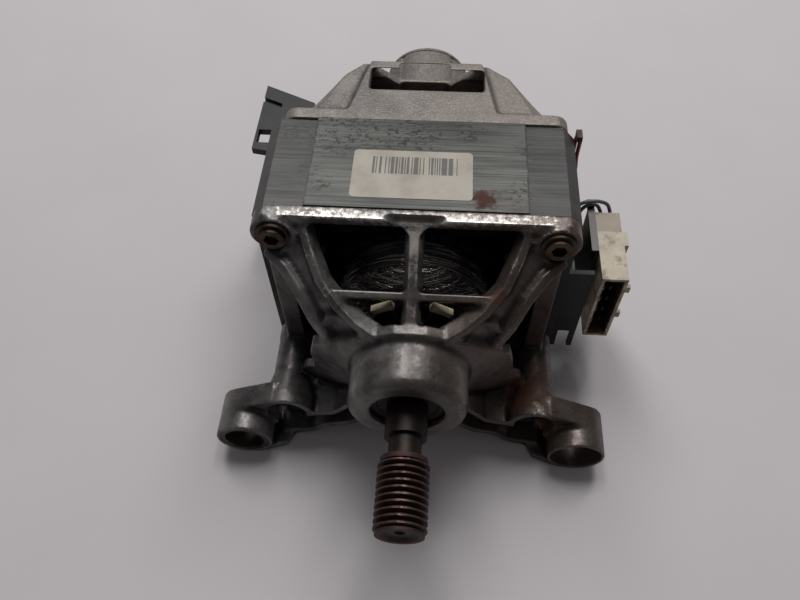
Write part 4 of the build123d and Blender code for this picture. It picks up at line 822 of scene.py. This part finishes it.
def lamination_stack():
    """Stack with its faces divided, so that rust, pits and the painted shade inside it can be written on its
    points.
    """
    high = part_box("stator_core")[1]
    stack = merged("lamination_stack", ["stator_core"])
    shape = bmesh.new()
    shape.from_mesh(stack.data)
    for _ in range(divide_rounds):
        long = [edge for edge in shape.edges if edge.calc_length() > longest_edge * MM]
        if not long:
            break
        bmesh.ops.subdivide_edges(shape, edges=long, cuts=1, use_grid_fill=False)
        bmesh.ops.triangulate(shape, faces=shape.faces)
    shape.to_mesh(stack.data)
    shape.free()
    points = settle(stack, ["stator_core"], "motor")
    write_value(stack.data, "grime", spots_at(points, grime_spots))
    # Painted shade inside the stack, full away from its top and sides.
    below = high.z - inner_shade_below * MM - abs(points[:, 2])
    beside = high.x - inner_shade_beside * MM - abs(points[:, 0])
    write_value(stack.data, "inner_shade", np.clip(np.minimum(below, beside) / (inner_shade_fade * MM), 0, 1))
    for polygon in stack.data.polygons:
        polygon.use_smooth = False


lamination_stack()


# Front overhang of the winding from the core to the shaft: radius and depth in front of the core, in mm.
overhang_line = np.array([(29.0, 0.8), (29.0, 7.2), (27.3, 12.4), (23.5, 16.8), (16.8, 19.4), (14.5, 20.0)])
overhang_radius = overhang_line[0][0]
# Radius past which a wire runs round the shaft instead of straight across, in mm.
round_radius = 28.0
# Wires in mm: their radius, the pitch at which they lie and its scatter, how far out the first and the last
# set are wound, and how far a wire stands out of its set.
wire_radius = 0.22
wire_pitch = 0.62
pitch_scatter = 0.08
first_lift = 0.3
last_lift = 1.2
lift_scatter = 0.35
# A round wire: half its arc and the arc's scatter in degrees, then its place, wave and slant in mm.
arc_half = 32
arc_scatter = 6
arc_rise = 0.25
arc_wave = 0.3
arc_slant = 0.4
# A straight wire: the share of its chord that it fills and that share's scatter, then slant and wave in mm.
chord_share = 0.97
chord_scatter = 0.06
chord_slant = 0.45
chord_wave = 0.25
# Waves along a wire, and how far their start is scattered, in radians.
waves = 3
wave_scatter = 6
wire_sides = 5
wire_steps = 16
slots = 24
# Slots in the order in which their sets are wound: from the lowest to the highest, which lies on top.
winding_order = sorted(range(slots), key=lambda slot: abs(slot - slots // 2))
# Direction in which the wires' sections stand, and the way out of the dome, as along and up.
wire_upright = (0, 0.6, 0.8)
out_along = -0.8
out_up = 0.45


def wire_over_dome(rng, radius, depth):
    """Middle line of one wire in mm, across, along and up, for t from -1 to 1 along it.

    Round: (r sin a, -d - wave cos 3a + slant t, r cos a) with a = half t. Straight: (e t, on the dome,
    r + slant t + wave cos(3t + start)) with e^2 = 29^2 - r^2.
    """
    t = np.linspace(-1, 1, wire_steps)
    if radius > round_radius:
        a = t * math.radians(arc_half + arc_scatter * rng.random())
        x = radius * np.sin(a)
        z = radius * np.cos(a) + arc_rise
        y = -depth - arc_wave * rng.random() * np.cos(a * waves) + rng.normal(0, arc_slant) * t
    else:
        end = math.sqrt(overhang_radius ** 2 - radius ** 2) * (chord_share - chord_scatter * rng.random())
        x = end * t
        z = radius + rng.normal(0, chord_slant) * t
        z += chord_wave * np.cos(waves * t + wave_scatter * rng.random())
        y = -np.interp(-np.hypot(x, z), -overhang_line[1:, 0], overhang_line[1:, 1])
    return x, y, z


def tube_points(path):
    """Rings round a path p: p + r (u cos t + v sin t), with u and v square to each other and to the path."""
    run = np.gradient(path, axis=0)
    run /= np.linalg.norm(run, axis=1)[:, None]
    side = np.cross(run, wire_upright)
    side /= np.linalg.norm(side, axis=1)[:, None]
    up = np.cross(side, run)
    corners = np.arange(wire_sides) * 2 * math.pi / wire_sides
    ring = side[:, None] * np.cos(corners)[None, :, None] + up[:, None] * np.sin(corners)[None, :, None]
    return (path[:, None] + wire_radius * ring).reshape(-1, 3)


def tube_faces(number):
    """Faces of closed tubes whose points run ring by ring: four sided between rings, a cap at each end."""
    corner = np.arange(wire_sides)
    here = np.arange(wire_steps - 1)[:, None] * wire_sides + corner
    beside = np.arange(wire_steps - 1)[:, None] * wire_sides + (corner + 1) % wire_sides
    sides = np.stack([here, here + wire_sides, beside + wire_sides, beside], -1).reshape(-1, 4)
    caps = np.stack([corner, (corner + (wire_steps - 1) * wire_sides)[::-1]])
    start = np.arange(number)[:, None, None] * wire_steps * wire_sides
    return (sides + start).reshape(-1, 4).tolist() + (caps + start).reshape(-1, wire_sides).tolist()


def front_winding():
    """Enamelled wires laid side by side over the domed overhang, one set for each slot, the last set on top.

    The dome's section is the line (r(s), d(s)) with s in mm along it. Near the core a wire keeps its depth
    and runs round the shaft. Further out it lies straight across in a plane z = r, as deep as the dome is at
    its radius (x^2 + z^2)^0.5. A set is turned round the shaft by its slot's angle, and lies out along a
    fixed direction by its lift.
    """
    rng = np.random.default_rng(4)
    along = np.concatenate([[0], np.cumsum(np.linalg.norm(np.diff(overhang_line, axis=0), axis=1))])
    places, glosses = [], []
    for order, slot in enumerate(winding_order):
        angle = 2 * math.pi * slot / slots
        turn = np.array(Matrix.Rotation(angle, 3, "Y"))
        lift = first_lift + (last_lift - first_lift) * order / (slots - 1)
        for s in np.arange(0, along[-1], wire_pitch):
            radius = np.interp(s, along, overhang_line[:, 0]) + rng.normal(0, pitch_scatter)
            depth = np.interp(s, along, overhang_line[:, 1])
            x, y, z = wire_over_dome(rng, radius, depth)
            out = lift + lift_scatter * rng.random()
            path = np.stack([x, y + out * out_along, z + out * out_up], 1)
            places.append(tube_points(path) @ turn.T)
            glosses.append(np.full(wire_steps * wire_sides, rng.random() ** 2))
    points = np.concatenate(places) * MM + np.array([0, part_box("rotor_core")[0].y, 0])
    mesh = bpy.data.meshes.new("front_winding")
    mesh.from_pydata(points.tolist(), [], tube_faces(len(places)))
    settle(placed("front_winding", mesh), ["armature_wires"], "rotor")
    write_value(mesh, "gloss", np.concatenate(glosses))


front_winding()


# Stage

# Table: half its width in metres, its gap under the ears and the size of its clouds in mm.
table_half = 6.0
table_gap = 0.1
table_cloud = 60.0
# Two tall windows behind the motor: places, aim, width and height in metres, power in watts. Then the
# strength of the daylight from all round.
window_places = {"window_left": (-0.28, 0.75, 1.25), "window_right": (0.30, 0.75, 1.25)}
window_aim = (0, 0.06, 0)
window_width = 0.34
window_height = 0.9
window_power = 8.7
room_light = 0.18


def stage_floor():
    """Pale matt table top that the ears stand on."""
    low = min(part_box(n)[0].z for n in ("front_shield", "rear_shield"))
    z = low - table_gap * MM
    corners = [(x * table_half, y * table_half, z) for x, y in ((-1, -1), (1, -1), (1, 1), (-1, 1))]
    mesh = bpy.data.meshes.new("table_top")
    mesh.from_pydata(corners, [], [(0, 1, 2, 3)])
    floor = placed("table_top", mesh)
    made, tree = material("matt table top")
    color = blend(tree, noise(tree, table_cloud, detail=3.0, rough=0.5), "#c4bfc0", "#cbc6c7")
    mesh.materials.append(finish(made, tree, color, 0.75, specular=0.2))


def stage_window(name, place):
    """Soft rectangular light that looks at the motor."""
    data = bpy.data.lights.new(name, "AREA")
    data.shape = "RECTANGLE"
    data.size = window_width
    data.size_y = window_height
    data.energy = window_power
    lamp = placed(name, data)
    lamp.location = place
    lamp.rotation_euler = (Vector(window_aim) - Vector(place)).to_track_quat("-Z", "Y").to_euler()


def stage_room():
    """Even daylight from all round, seen by the camera as a pale wall."""
    world = bpy.data.worlds.new("room")
    scene.world = world
    world.use_nodes = True
    tree = world.node_tree
    tree.nodes.clear()
    back = add(tree, "ShaderNodeBackground", {"Color": linear("#e6e6ea"), "Strength": room_light})
    output = add(tree, "ShaderNodeOutputWorld")
    tree.links.new(back.outputs["Background"], output.inputs["Surface"])


stage_floor()
for name, place in window_places.items():
    stage_window(name, place)
stage_room()

scene.view_settings.view_transform = "Standard"
scene.view_settings.look = "None"
